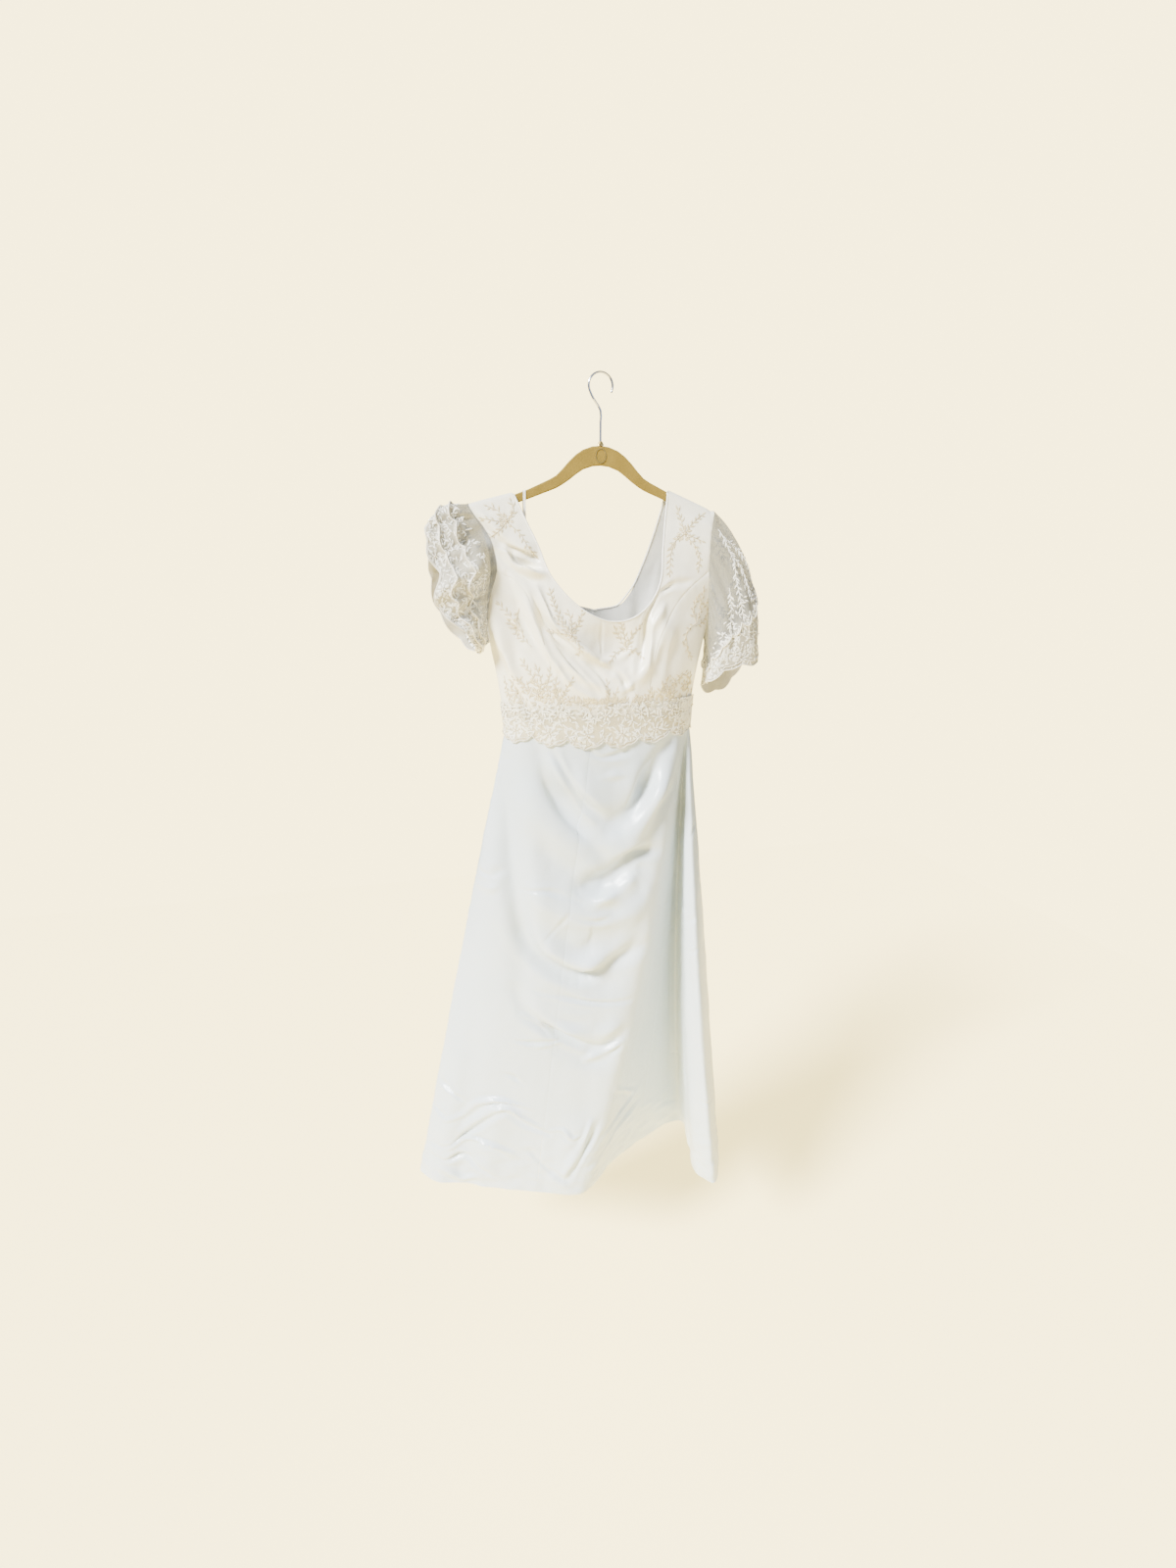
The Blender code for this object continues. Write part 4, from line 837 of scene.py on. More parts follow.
# One panel: creases, seam dips, then the wall. Its outer grid stays for what is sewn on it.
def makePanel(name, node, points, normals, face, seams, joins):
    points = points + normals * bodiceDetail(points, face)[..., None]
    points = points + normals * (seamDip(points, seams) * panelFade(points))[..., None]
    inner = points - normals * bodice["satinWall"]
    wall = points.copy()
    for edge, rows in joins:
        drawIn(wall, inner, edge, rows)
    piece = clothWall(name, wall, inner, finishes["bodiceSatin"], finishes["lining"])
    seatSheet(node)
    return points, normals


def panelFade(points):
    drop = shoulderHeight(points[..., 0]) - points[..., 2]
    return smoothStep(drop / 0.012)


def centreFront():
    total = lineLength(bodice["frontNeckline"])
    outer, neck = [], []
    for side, seam, tip, stops in (
        (-1, bodice["leftPrincess"], bodice["leftShoulder"][0], bodice["leftNeckStops"]),
        (1, bodice["rightPrincess"], bodice["rightShoulder"][-1], bodice["rightNeckStops"]),
    ):
        first, rows = bodice["firstStrapShare"], bodice["strapRows"]
        strap = armholeEdge(-1, side, onRidge(tip), seam[0][1], first, rows)
        strap[-1] = seam[0]
        princess = along(seam, np.linspace(0, 1, bodice["princessRows"] + 1))[1:]
        outer.append(np.vstack([strap, princess]))
        shares = np.concatenate([
            downFromRidge(total, stops[0] * first, stops[0], rows),
            np.linspace(stops[0], stops[1], bodice["princessRows"] + 1)[1:],
        ])
        neck.append(shares if side < 0 else 1 - shares[::-1])
    waist = np.linspace(outer[0][-1], outer[1][-1], bodice["waistRows"] + 1)[1:-1]
    low = np.linspace(neck[0][-1], neck[1][0], bodice["waistRows"] + 1)[1:-1]
    outerLine = np.vstack([outer[0], waist, outer[1][::-1]])
    neckline = along(bodice["frontNeckline"], np.concatenate([neck[0], low, neck[1]]))
    neckline[0], neckline[-1] = onRidge(neckline[0]), onRidge(neckline[-1])
    flat = band(neckline, outerLine, np.linspace(0, 1, bodice["frontColumns"]))
    for row in (0, -1):
        flat[row, :, 1] = shoulderHeight(flat[row, :, 0])
    points, normals = bodiceSurface(flat, -1)
    armhole = len(bodice["ridgeDrops"]) + bodice["strapRows"]
    corner = armhole + bodice["princessRows"]
    settleRidge(points, normals, (0, -1), -1)
    settleWaist(points, normals, slice(corner, len(points) - corner), -1)
    rows = slice(armhole, corner + 1), slice(len(points) - corner - 1, len(points) - armhole)
    return makePanel("bodiceCentreFront", "bodice_centre_front", points, normals, -1,
                     ("right",), [(("column", -1), r) for r in rows])


def sideFront(side):
    seam = bodice["leftPrincess"] if side < 0 else bodice["rightPrincess"]
    rows = bodice["princessRows"] + 1
    innerLine = along(seam, np.linspace(1, 0, rows))
    outerLine = edgePoints(-1, side, np.linspace(bodice["waistZ"], bodice["underarmZ"], rows))
    shares = toEdgeShares(bodice["sideColumns"])
    armhole = edgePoints(-1, side, seam[0][1] + (bodice["underarmZ"] - seam[0][1]) * shares)
    armhole[0] = seam[0]
    flat = band(innerLine, outerLine, shares)
    flat += (armhole - flat[-1])[None] * np.linspace(0, 1, rows)[:, None, None]
    points, normals = bodiceSurface(flat, -1)
    settleSide(points, normals, slice(None), -1, -1)
    settleWaist(points, normals, 0, slice(None))
    where = "Left" if side < 0 else "Right"
    return makePanel("bodiceSideFront" + where, "bodice_side_front_" + where.lower(), points,
                     normals, -1, ("left",), [(("column", 0), slice(None))])


def backHalf(side):
    shoulder = bodice["leftShoulder"] if side < 0 else bodice["rightShoulder"][::-1]
    line = bodice["backNeckline"]
    neckline = np.array(line[:6] if side < 0 else line[:4:-1])
    total = lineLength(neckline)
    first, rows = bodice["firstBackShare"], bodice["backArmholeRows"]
    armhole = armholeEdge(1, side, onRidge(shoulder[0]), bodice["underarmZ"], first, rows)
    down = np.linspace(bodice["underarmZ"], bodice["waistZ"], bodice["backSideRows"] + 1)[1:]
    seam = edgePoints(1, side, down)
    waist = np.linspace(seam[-1], (0.0, bodice["waistZ"]), bodice["backWaistRows"] + 1)[1:]
    strapStop, sideStop = bodice["backNeckStops"]
    neck = along(neckline, np.concatenate([
        downFromRidge(total, first * strapStop, strapStop, rows),
        np.linspace(strapStop, sideStop, bodice["backSideRows"] + 1)[1:],
        np.linspace(sideStop, 1.0, bodice["backWaistRows"] + 1)[1:],
    ]))
    neck[0] = onRidge(neck[0])
    flat = band(neck, np.vstack([armhole, seam, waist]), toEdgeShares(bodice["backColumns"]))
    flat[0, :, 1] = shoulderHeight(flat[0, :, 0])
    points, normals = bodiceSurface(flat, 1)
    underarm = len(armhole) - 1
    corner = underarm + bodice["backSideRows"]
    settleRidge(points, normals, (0,), 1)
    settleSide(points, normals, slice(underarm, corner + 1), -1, 1)
    settleWaist(points, normals, slice(corner, None), -1)
    where = "Left" if side < 0 else "Right"
    return makePanel("bodiceBack" + where, "bodice_back_" + where.lower(), points, normals, 1,
                     ("bottom",), [(("row", -1), slice(None))])


def edgeRun(grid, column):
    points, normals = grid
    beside = column - 1 if column < 0 else column + 1
    away = -squareToEdge(points[:, column], points[:, beside])
    return np.stack([points[:, column], normals[:, column], away], axis=1)


# Satin-covered piping round the neck
def neckPiping(front, backLeft, backRight):
    run = edgeRun(front, 0)
    over = edgeRun(backRight, 0)
    under = edgeRun(backLeft, 0)[::-1]
    for line, ends in (run, (0, -1)), (over, (0,)), (under, (-1,)):
        for end in ends:
            line[end, 2] = (-np.sign(line[end, 0, 0]), 0.0, 0.0)
    ring = np.vstack([run, over[1:], under[1:-1]])
    middle = ring[:, 0] - ring[:, 1] * bodice["satinWall"] / 2
    path = middle + unit(ring[:, 2]) * (bodice["pipingRadius"] * 0.8)
    keep = np.concatenate([[True], np.linalg.norm(np.diff(path, axis=0), axis=1) > 0.0012])
    path = path[keep]
    for _ in range(3):
        path = (np.roll(path, 1, axis=0) + 2 * path + np.roll(path, -1, axis=0)) / 4
    rings = tubeRings(path, bodice["pipingRadius"], bodice["pipingSides"], closed=True)
    piece = sweep("neckPiping", rings, finishes["pipingSatin"], closed=True)
    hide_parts("neck_piping")


# Skirt: one girth of gores, the same lines as the solids at a finer step

skirt = {
    "hemZ": -1.600,
    "kneeShare": 0.45,
    "skirtStations": (
        ("sideLeft", "front", -1.000, -0.272, 0.055, -0.384, 0.076, 3),
        ("flank", "front", -0.940, -0.254, 0.014, -0.356, 0.026, 3),
        ("frontLeft", "front", -0.760, -0.208, -0.022, -0.300, 0.006, 3),
        ("frontA", "front", -0.500, -0.152, -0.046, -0.232, -0.026, 3),
        ("leftSeam", "front", -0.180, -0.088, -0.062, -0.152, -0.060, 4),
        ("frontC", "front", 0.180, -0.010, -0.072, -0.104, -0.080, 5),
        ("ridge", "front", 0.780, 0.081, -0.070, -0.064, -0.090, 3),
        ("slopeA", "front", 0.840, 0.110, -0.042, 0.015, -0.028, 3),
        ("rightSeam", "front", 0.885, 0.146, -0.002, 0.102, 0.028, 3),
        ("valley", "front", 0.915, 0.184, 0.036, 0.226, 0.072, 4),
        ("stripInner", "front", 0.940, 0.178, -0.020, 0.212, -0.015, 3),
        ("stripEdge", "front", 0.960, 0.166, -0.070, 0.199, -0.108, 3),
        ("stripNose", "front", 0.975, 0.177, -0.088, 0.218, -0.134, 3),
        ("stripOuter", "front", 0.988, 0.206, -0.062, 0.255, -0.085, 2),
        ("rightMid", "front", 0.996, 0.226, -0.015, 0.276, -0.010, 2),
        ("sideRight", "back", 1.000, 0.234, 0.040, 0.290, 0.066, 3),
        ("backEdgeRight", "back", 0.940, 0.216, 0.062, 0.268, 0.098, 3),
        ("backRight", "back", 0.740, 0.160, 0.072, 0.202, 0.106, 3),
        ("backMidRight", "back", 0.380, 0.078, 0.070, 0.092, 0.098, 4),
        ("backCentre", "back", 0.000, -0.012, 0.074, -0.032, 0.106, 4),
        ("backMidLeft", "back", -0.380, -0.102, 0.070, -0.156, 0.098, 3),
        ("backLeft", "back", -0.740, -0.186, 0.072, -0.268, 0.104, 3),
        ("backEdgeLeft", "back", -0.940, -0.250, 0.070, -0.354, 0.098, 3),
    ),
    "frontStations": 15,
    "swags": (
        (-0.006, -0.792, 0.125, 0.130, -0.008, 0.022),
        (-0.004, -0.838, 0.120, 0.120, 0.007, 0.024),
        (-0.012, -0.915, 0.130, 0.100, -0.010, 0.032),
        (-0.020, -0.985, 0.130, 0.050, 0.010, 0.028),
        (-0.045, -1.115, 0.120, 0.085, -0.009, 0.024),
        (-0.030, -1.205, 0.120, 0.035, 0.004, 0.026),
        (-0.020, -1.285, 0.100, 0.060, -0.007, 0.026),
    ),
    "longFolds": (
        (-0.164, -0.640, -0.170, -1.160, -0.008, 0.026),
        (-0.262, -1.000, -0.300, -1.600, -0.005, 0.026),
        (-0.215, -1.380, -0.262, -1.600, 0.006, 0.028),
        (-0.060, -1.420, -0.110, -1.600, 0.006, 0.026),
    ),
    "backWaves": 5,
    "backWaveHeight": 0.009,
    "rows": 284,
    "fine": 6,
    "hemTurn": 0.028,
    # stitched line over the turned hem: how deep and how wide
    "hemStitch": (0.0005, 0.0018),
    # small unevenness of the cloth: height, size, shift of the noise
    "relief": ((0.0012, 0.07, 9.0), (0.0005, 0.02, 2.0)),
    # crumple near the hem: height, size, shift, where it starts, and its run
    "hemCrumple": (0.0030, 0.026, 5.0, 0.82, 0.15),
    "backCreases": (
        (-0.003, 0.008, ((-0.12, -0.66), (-0.14, -0.85), (-0.16, -1.05))),
        (0.004, 0.010, ((-0.05, -0.70), (-0.06, -0.95), (-0.09, -1.20))),
        (-0.004, 0.009, ((0.06, -0.68), (0.08, -0.90), (0.10, -1.15))),
        (0.003, 0.007, ((-0.20, -1.30), (-0.14, -1.36), (-0.08, -1.33))),
        (-0.004, 0.007, ((-0.24, -1.45), (-0.17, -1.50), (-0.10, -1.47), (-0.03, -1.52))),
        (-0.003, 0.006, ((0.06, -1.42), (0.12, -1.47), (0.19, -1.44))),
        (0.003, 0.006, ((0.02, -1.53), (0.09, -1.56), (0.17, -1.53))),
    ),
    "creases": (
        (-0.015, 0.018, ((-0.19, -0.676), (-0.188, -0.808), (-0.178, -0.927), (-0.149, -1.044),
                         (-0.112, -1.085), (-0.057, -1.109), (0.006, -1.08), (0.067, -1.053))),
        (0.0138, 0.0224, ((-0.126, -1.037), (-0.091, -1.062), (-0.032, -1.078), (0.013, -1.064))),
        (-0.0184, 0.024, ((-0.131, -0.624), (-0.119, -0.673), (-0.087, -0.755), (-0.053, -0.804),
                          (-0.006, -0.866))),
        (0.012, 0.0135, ((-0.122, -0.648), (-0.086, -0.719), (-0.052, -0.771), (-0.022, -0.8))),
        (-0.0063, 0.007, ((-0.105, -0.648), (-0.072, -0.709), (-0.041, -0.754), (-0.011, -0.782))),
        (-0.0105, 0.015, ((0.13, -0.64), (0.099, -0.691), (0.064, -0.743), (0.044, -0.781))),
        (0.0138, 0.0204, ((0.137, -0.663), (0.11, -0.721), (0.085, -0.773), (0.042, -0.835))),
        (-0.0143, 0.0162, ((0.099, -0.855), (0.052, -0.861), (0.007, -0.9), (-0.052, -0.923))),
        (0.0125, 0.015, ((0.056, -0.904), (0.017, -0.938), (-0.033, -0.955))),
        (-0.0037, 0.008, ((-0.078, -0.975), (-0.019, -0.988), (0.021, -0.973))),
        (-0.0031, 0.0045, ((-0.175, -0.928), (-0.125, -0.923), (-0.082, -0.936), (-0.051, -0.953))),
        (-0.0025, 0.004, ((-0.078, -0.969), (-0.099, -0.998), (-0.126, -1.028))),
        (-0.0037, 0.006, ((-0.044, -0.642), (-0.016, -0.665), (0.013, -0.663), (0.05, -0.652))),
        (0.0025, 0.006, ((-0.016, -0.707), (0.009, -0.701), (0.039, -0.702))),
        (-0.0031, 0.005, ((-0.121, -1.128), (-0.07, -1.153), (-0.018, -1.165), (0.047, -1.164))),
        (-0.0037, 0.007, ((-0.236, -0.897), (-0.219, -0.901), (-0.199, -0.886))),
        (0.0025, 0.007, ((-0.241, -0.924), (-0.222, -0.926), (-0.202, -0.917))),
        (-0.0092, 0.0114, ((-0.181, -1.132), (-0.156, -1.19), (-0.098, -1.233), (-0.055, -1.256),
                           (-0.011, -1.268), (0.034, -1.232))),
        (0.0083, 0.0136, ((-0.114, -1.203), (-0.068, -1.224), (-0.028, -1.234), (0.012, -1.218))),
        (0.0081, 0.007, ((-0.047, -1.292), (-0.01, -1.276), (0.026, -1.255))),
        (0.005, 0.004, ((-0.168, -1.189), (-0.138, -1.208), (-0.102, -1.243))),
        (-0.0031, 0.004, ((-0.2, -1.242), (-0.162, -1.249), (-0.098, -1.246))),
        (0.0025, 0.004, ((-0.146, -1.257), (-0.119, -1.254), (-0.094, -1.25))),
        (-0.0025, 0.005, ((-0.144, -1.134), (-0.09, -1.149), (-0.035, -1.164), (0.038, -1.169))),
        (-0.0037, 0.004, ((-0.214, -1.323), (-0.191, -1.329), (-0.17, -1.348))),
        (-0.0055, 0.005, ((-0.334, -1.363), (-0.322, -1.377), (-0.294, -1.398))),
        (-0.0047, 0.005, ((-0.349, -1.434), (-0.331, -1.443))),
        (0.0055, 0.005, ((-0.332, -1.454), (-0.291, -1.432), (-0.259, -1.397), (-0.227, -1.385),
                         (-0.157, -1.401))),
        (-0.0047, 0.005, ((-0.275, -1.43), (-0.247, -1.403), (-0.212, -1.397), (-0.165, -1.406))),
        (-0.0063, 0.005, ((-0.361, -1.516), (-0.339, -1.516), (-0.277, -1.47), (-0.213, -1.412),
                          (-0.174, -1.438), (-0.123, -1.46))),
        (0.0047, 0.005, ((-0.305, -1.477), (-0.236, -1.416), (-0.208, -1.401), (-0.173, -1.424),
                         (-0.142, -1.444))),
        (0.0063, 0.005, ((-0.323, -1.513), (-0.285, -1.489), (-0.247, -1.489), (-0.188, -1.519))),
        (-0.0063, 0.005, ((-0.364, -1.541), (-0.337, -1.547), (-0.293, -1.531), (-0.265, -1.554),
                          (-0.233, -1.573))),
        (0.0063, 0.007, ((-0.334, -1.57), (-0.298, -1.587), (-0.269, -1.574))),
        (-0.0047, 0.006, ((-0.163, -1.5), (-0.133, -1.538), (-0.086, -1.569))),
        (0.0047, 0.004, ((-0.123, -1.45), (-0.095, -1.448), (-0.08, -1.464), (-0.055, -1.454))),
        (-0.0063, 0.006, ((-0.019, -1.424), (-0.047, -1.486), (-0.09, -1.563))),
        (0.0047, 0.006, ((-0.038, -1.427), (-0.069, -1.497), (-0.098, -1.548))),
        (-0.0045, 0.008, ((0.185, -1.355), (0.153, -1.433), (0.093, -1.47), (0.016, -1.504),
                          (-0.043, -1.536))),
        (0.0036, 0.008, ((0.12, -1.411), (0.066, -1.448), (-0.001, -1.471), (-0.048, -1.515))),
        (0.0045, 0.006, ((0.107, -1.483), (0.149, -1.469), (0.219, -1.516))),
        (-0.0063, 0.006, ((0.133, -1.51), (0.164, -1.507), (0.206, -1.538))),
        (0.0031, 0.005, ((0.015, -1.365), (0.084, -1.44))),
    ),
    "stripCreases": (
        (-0.002, 0.004, ((0.189, -1.404), (0.226, -1.41))),
        (-0.002, 0.004, ((0.175, -0.842), (0.189, -0.815))),
        (-0.002, 0.004, ((0.166, -1.016), (0.18, -0.998))),
        (-0.002, 0.004, ((0.168, -1.078), (0.183, -1.066))),
        (-0.002, 0.005, ((0.172, -1.135), (0.183, -1.309), (0.196, -1.5))),
    ),
}


def shareDown(z):
    return (bodice["waistZ"] - z) / (bodice["waistZ"] - skirt["hemZ"])


def girth(heights, fine=1):
    steps = [row[7] * fine for row in skirt["skirtStations"]]
    across = spline([[row[2]] for row in skirt["skirtStations"]], steps, closed=True)[:, 0]
    across = np.clip(across, -1.0, 1.0)
    knee = spline([row[3:5] for row in skirt["skirtStations"]], steps, closed=True)
    hem = spline([row[5:7] for row in skirt["skirtStations"]], steps, closed=True)
    front = np.arange(len(across)) <= sum(steps[:skirt["frontStations"]])
    bend = skirt["kneeShare"]
    rings = []
    for z in heights:
        share = np.clip(shareDown(z), 0.0, 1.0)
        level = max(z, bodice["waistZ"])
        left, right = tableAt(bodice["frontSections"], level)[:2]
        x = (left + right) / 2 + (right - left) / 2 * across
        heightsHere = np.full(len(x), level)
        y = np.where(front, bodiceY(x, heightsHere, -1), bodiceY(x, heightsHere, 1))
        plan = (
            np.stack([x, y], axis=1) * (share - bend) * (share - 1) / bend
            + knee * share * (share - 1) / (bend * (bend - 1))
            + hem * share * (share - bend) / (1 - bend)
        )
        rings.append(np.column_stack([plan, np.full(len(plan), z)]))
    return np.array(rings)


def swagRise(x, z):
    rise = np.zeros(x.shape)
    for centre, low, half, lift, height, width in skirt["swags"]:
        share = (x - centre) / half
        line = low + lift * share**2
        off = (z - line) / np.sqrt(1 + (2 * lift * share / half) ** 2)
        rise += height * np.exp(-((off / width) ** 2)) * smoothStep((1.25 - np.abs(share)) / 0.5)
    return rise


# The column where each station's line runs, on a grid that is so many times finer
def stationColumns(fine):
    counts = np.cumsum([0] + [row[7] for row in skirt["skirtStations"]])
    return {row[0]: int(counts[i]) * fine for i, row in enumerate(skirt["skirtStations"])}


def skirtRise(points):
    x, z = points[..., 0], points[..., 2]
    share = shareDown(z)
    column = np.arange(points.shape[1])[None]
    fine = points.shape[1] / sum(row[7] for row in skirt["skirtStations"])
    place = stationColumns(fine)
    front = smoothStep(column / (5 * fine)) * smoothStep((place["ridge"] - column) / (3 * fine))
    rise = swagRise(x, z) * front
    folds = [(*ends, 0.0, height, width) for *ends, height, width in skirt["longFolds"]]
    rise += foldRise(x, z, folds) * front
    back = (column - place["sideRight"]) / (points.shape[1] - place["sideRight"])
    back = np.clip(back, 0, 1)
    waves = np.sin(back * math.pi * 2 * skirt["backWaves"]) * np.sin(back * math.pi)
    rise += skirt["backWaveHeight"] * waves * share
    return rise * smoothStep(share / 0.05)


def girthNormals(points):
    around = np.roll(points, -1, axis=1) - np.roll(points, 1, axis=1)
    down = np.gradient(points, axis=0)
    return unit(np.cross(down, around))


def garmentGirth(heights, fine=1):
    points = girth(heights, fine)
    normals = girthNormals(points)
    points = points + normals * skirtRise(points)[..., None]
    points[..., 2] = np.asarray(heights)[:, None]
    return points, girthNormals(points)


def skirtDetail(points, fine):
    x, z = points[..., 0], points[..., 2]
    at = stationColumns(fine)
    column = np.broadcast_to(np.arange(points.shape[1])[None], x.shape)
    front = smoothStep((at["rightSeam"] - column) / (1.5 * fine))
    front = front * smoothStep(column / (2.0 * fine))
    strip = (column > at["rightSeam"]) & (column < at["sideRight"])
    back = column >= at["sideRight"]
    rise = creaseRise(x, z, skirt["creases"]) * front
    rise = rise + creaseRise(x, z, skirt["stripCreases"]) * strip
    rise = rise + creaseRise(x, z, skirt["backCreases"]) * back
    share = np.clip(shareDown(z), 0, 1)
    soft = unevenness(points, skirt["relief"])
    height, size, shift, first, run = skirt["hemCrumple"]
    low = height * perlin(points * (1.0, 1.0, 1.6), size, shift)
    low = low * smoothStep((share - first) / run)
    dip, width = skirt["hemStitch"]
    hem = -dip * np.exp(-(((z - skirt["hemZ"] - skirt["hemTurn"]) / width) ** 2))
    return (rise + soft + low + hem) * smoothStep(share / 0.012)


def garmentSurface(heights, fine):
    points, normals = garmentGirth(heights, fine)
    at = stationColumns(fine)["sideRight"]
    over = points[..., 2] > bodice["waistZ"]
    rise = skirtDetail(points, fine) * ~over
    above = int(over[:, 0].sum())
    if above:
        rise[:above, :at + 1] = bodiceDetail(points[:above, :at + 1], -1)
        rise[:above, at + 1:] = bodiceDetail(points[:above, at + 1:], 1)
    return points + normals * rise[..., None], normals


def makeSkirt():
    fine = skirt["fine"]
    heights = np.linspace(bodice["waistZ"], skirt["hemZ"], skirt["rows"] + 1)
    points, normals = garmentSurface(heights, fine)
    normals[0, :, 2] = 0.0
    normals[-1, :, 2] = 0.0
    normals = unit(normals)
    points = np.concatenate([points, points[:, :1]], axis=1)
    normals = np.concatenate([normals, normals[:, :1]], axis=1)
    at = stationColumns(fine)
    end = points.shape[1] - 1
    gores = (
        ("skirtSideLeft", "skirt_side_left", 0, at["leftSeam"], 1),
        ("skirtFront", "skirt_front", at["leftSeam"], at["rightSeam"], 1),
        ("skirtSideRight", "skirt_side_right", at["rightSeam"], at["sideRight"], 1),
        ("skirtBackRight", "skirt_back_right", at["sideRight"], at["backCentre"], 2),
        ("skirtBackLeft", "skirt_back_left", at["backCentre"], end, 2),
    )
    for name, node, first, last, step in gores:
        outer = points[::step, first:last + 1:step].copy()
        facing = normals[::step, first:last + 1:step]
        dip = seamDip(outer, ("left", "right"), depth=0.0004, pucker=0.0003)
        outer += facing * dip[..., None]
        turned = smoothStep((skirt["hemZ"] + skirt["hemTurn"] - outer[..., 2]) / 0.002)
        wall = bodice["satinWall"] * (1 + turned)[..., None]
        inner = outer - facing * wall
        drawIn(outer, inner, ("column", 0))
        drawIn(outer, inner, ("column", -1))
        piece = clothWall(name, outer, inner, finishes["skirtSatinPaintedShade"], finishes["lining"])
        seatSheet(node)
    return points, normals


def drawIn(outer, inner, edge, only=slice(None)):
    kind, n = edge
    beside = n + 1 if n >= 0 else n - 1
    if kind == "column":
        step = squareToEdge(outer[:, n], outer[:, beside])[only] * bodice["seamHalfGap"]
        outer[only, n] += step
        inner[only, n] += step
    else:
        step = squareToEdge(outer[n], outer[beside])[only] * bodice["seamHalfGap"]
        outer[n, only] += step
        inner[n, only] += step


# Waist lace

lace = {
    "laceTopZ": -0.563,
    "laceLift": 0.0014,
    "laceWall": 0.0012,
    "laceSideDrop": 0.004,
    "laceFrontDrop": 0.018,
    "dropHalfWidth": 0.19,
    # unevenness of the net: height, size, shift of the noise
    "ripple": (0.0007, 0.009, 3.0),
    # the embroidery fills the band from this share down, over this run
    "filledFrom": 0.16,
    "filledOver": 0.45,
    "bigScallops": 12,
    "bigScallopDepth": 0.013,
    "smallScallopDepth": 0.004,
    "rows": 40,
    "fine": 6,
}


# The band's rows run from its straight top to the scalloped edge
def waistLace():
    fine = lace["fine"]
    at = stationColumns(fine)["sideRight"]
    total = sum(row[7] for row in skirt["skirtStations"]) * fine
    deepest = lace["laceFrontDrop"] + lace["bigScallopDepth"] + lace["smallScallopDepth"]
    heights = np.linspace(lace["laceTopZ"], bodice["waistZ"] - deepest - 0.004, 60)
    points, normals = garmentSurface(heights, fine)
    level = points[20]
    lengths = np.linalg.norm(np.diff(level, axis=0, append=level[:1]), axis=1)
    walk = np.concatenate([[0], np.cumsum(lengths)])[:total] / lengths.sum()
    big = np.abs(np.sin(walk * math.pi * lace["bigScallops"]))
    small = np.abs(np.sin(walk * math.pi * lace["bigScallops"] * 3))
    middle = smoothStep(1 - np.abs(level[:, 0]) / lace["dropHalfWidth"])
    drop = lace["laceSideDrop"] + (lace["laceFrontDrop"] - lace["laceSideDrop"]) * middle
    bottom = bodice["waistZ"] - drop - lace["bigScallopDepth"] * big
    bottom -= lace["smallScallopDepth"] * small
    shares = np.linspace(0, 1, lace["rows"] + 1)
    z = lace["laceTopZ"] + (bottom - lace["laceTopZ"]) * shares[:, None]
    outer = np.zeros(z.shape + (3,))
    facing = np.zeros(z.shape + (3,))
    for c in range(total):
        for k in range(3):
            outer[:, c, k] = np.interp(-z[:, c], -heights, points[:, c, k])
            facing[:, c, k] = np.interp(-z[:, c], -heights, normals[:, c, k])
    facing[..., 2] = 0.0
    facing = unit(facing)
    height, size, shift = lace["ripple"]
    ripple = height * perlin(outer, size, shift) * (0.4 + shares[:, None])
    outer = outer + facing * (lace["laceLift"] + lace["laceWall"] + ripple)[..., None]
    outer = np.concatenate([outer, outer[:, :1]], axis=1)
    facing = np.concatenate([facing, facing[:, :1]], axis=1)
    walk = np.append(walk, 1.0)
    fill = smoothStep((shares - lace["filledFrom"]) / lace["filledOver"])
    fill = np.broadcast_to(fill[:, None], outer.shape[:2])
    grids = []
    for name, node, first, last in (
        ("waistLaceFront", "waist_lace_front", 0, at),
        ("waistLaceBack", "waist_lace_back", at, total),
    ):
        near = outer[:, first:last + 1].copy()
        inner = near - facing[:, first:last + 1] * lace["laceWall"]
        drawIn(near, inner, ("column", 0))
        drawIn(near, inner, ("column", -1))
        piece = clothWall(name, near, inner, finishes["laceNet"],
                          fill=fill[:, first:last + 1])
        seatSheet(node)
        grids.append((outer[:, first:last + 1], facing[:, first:last + 1],
                      walk[first:last + 1]))
    return grids


# Sleeves

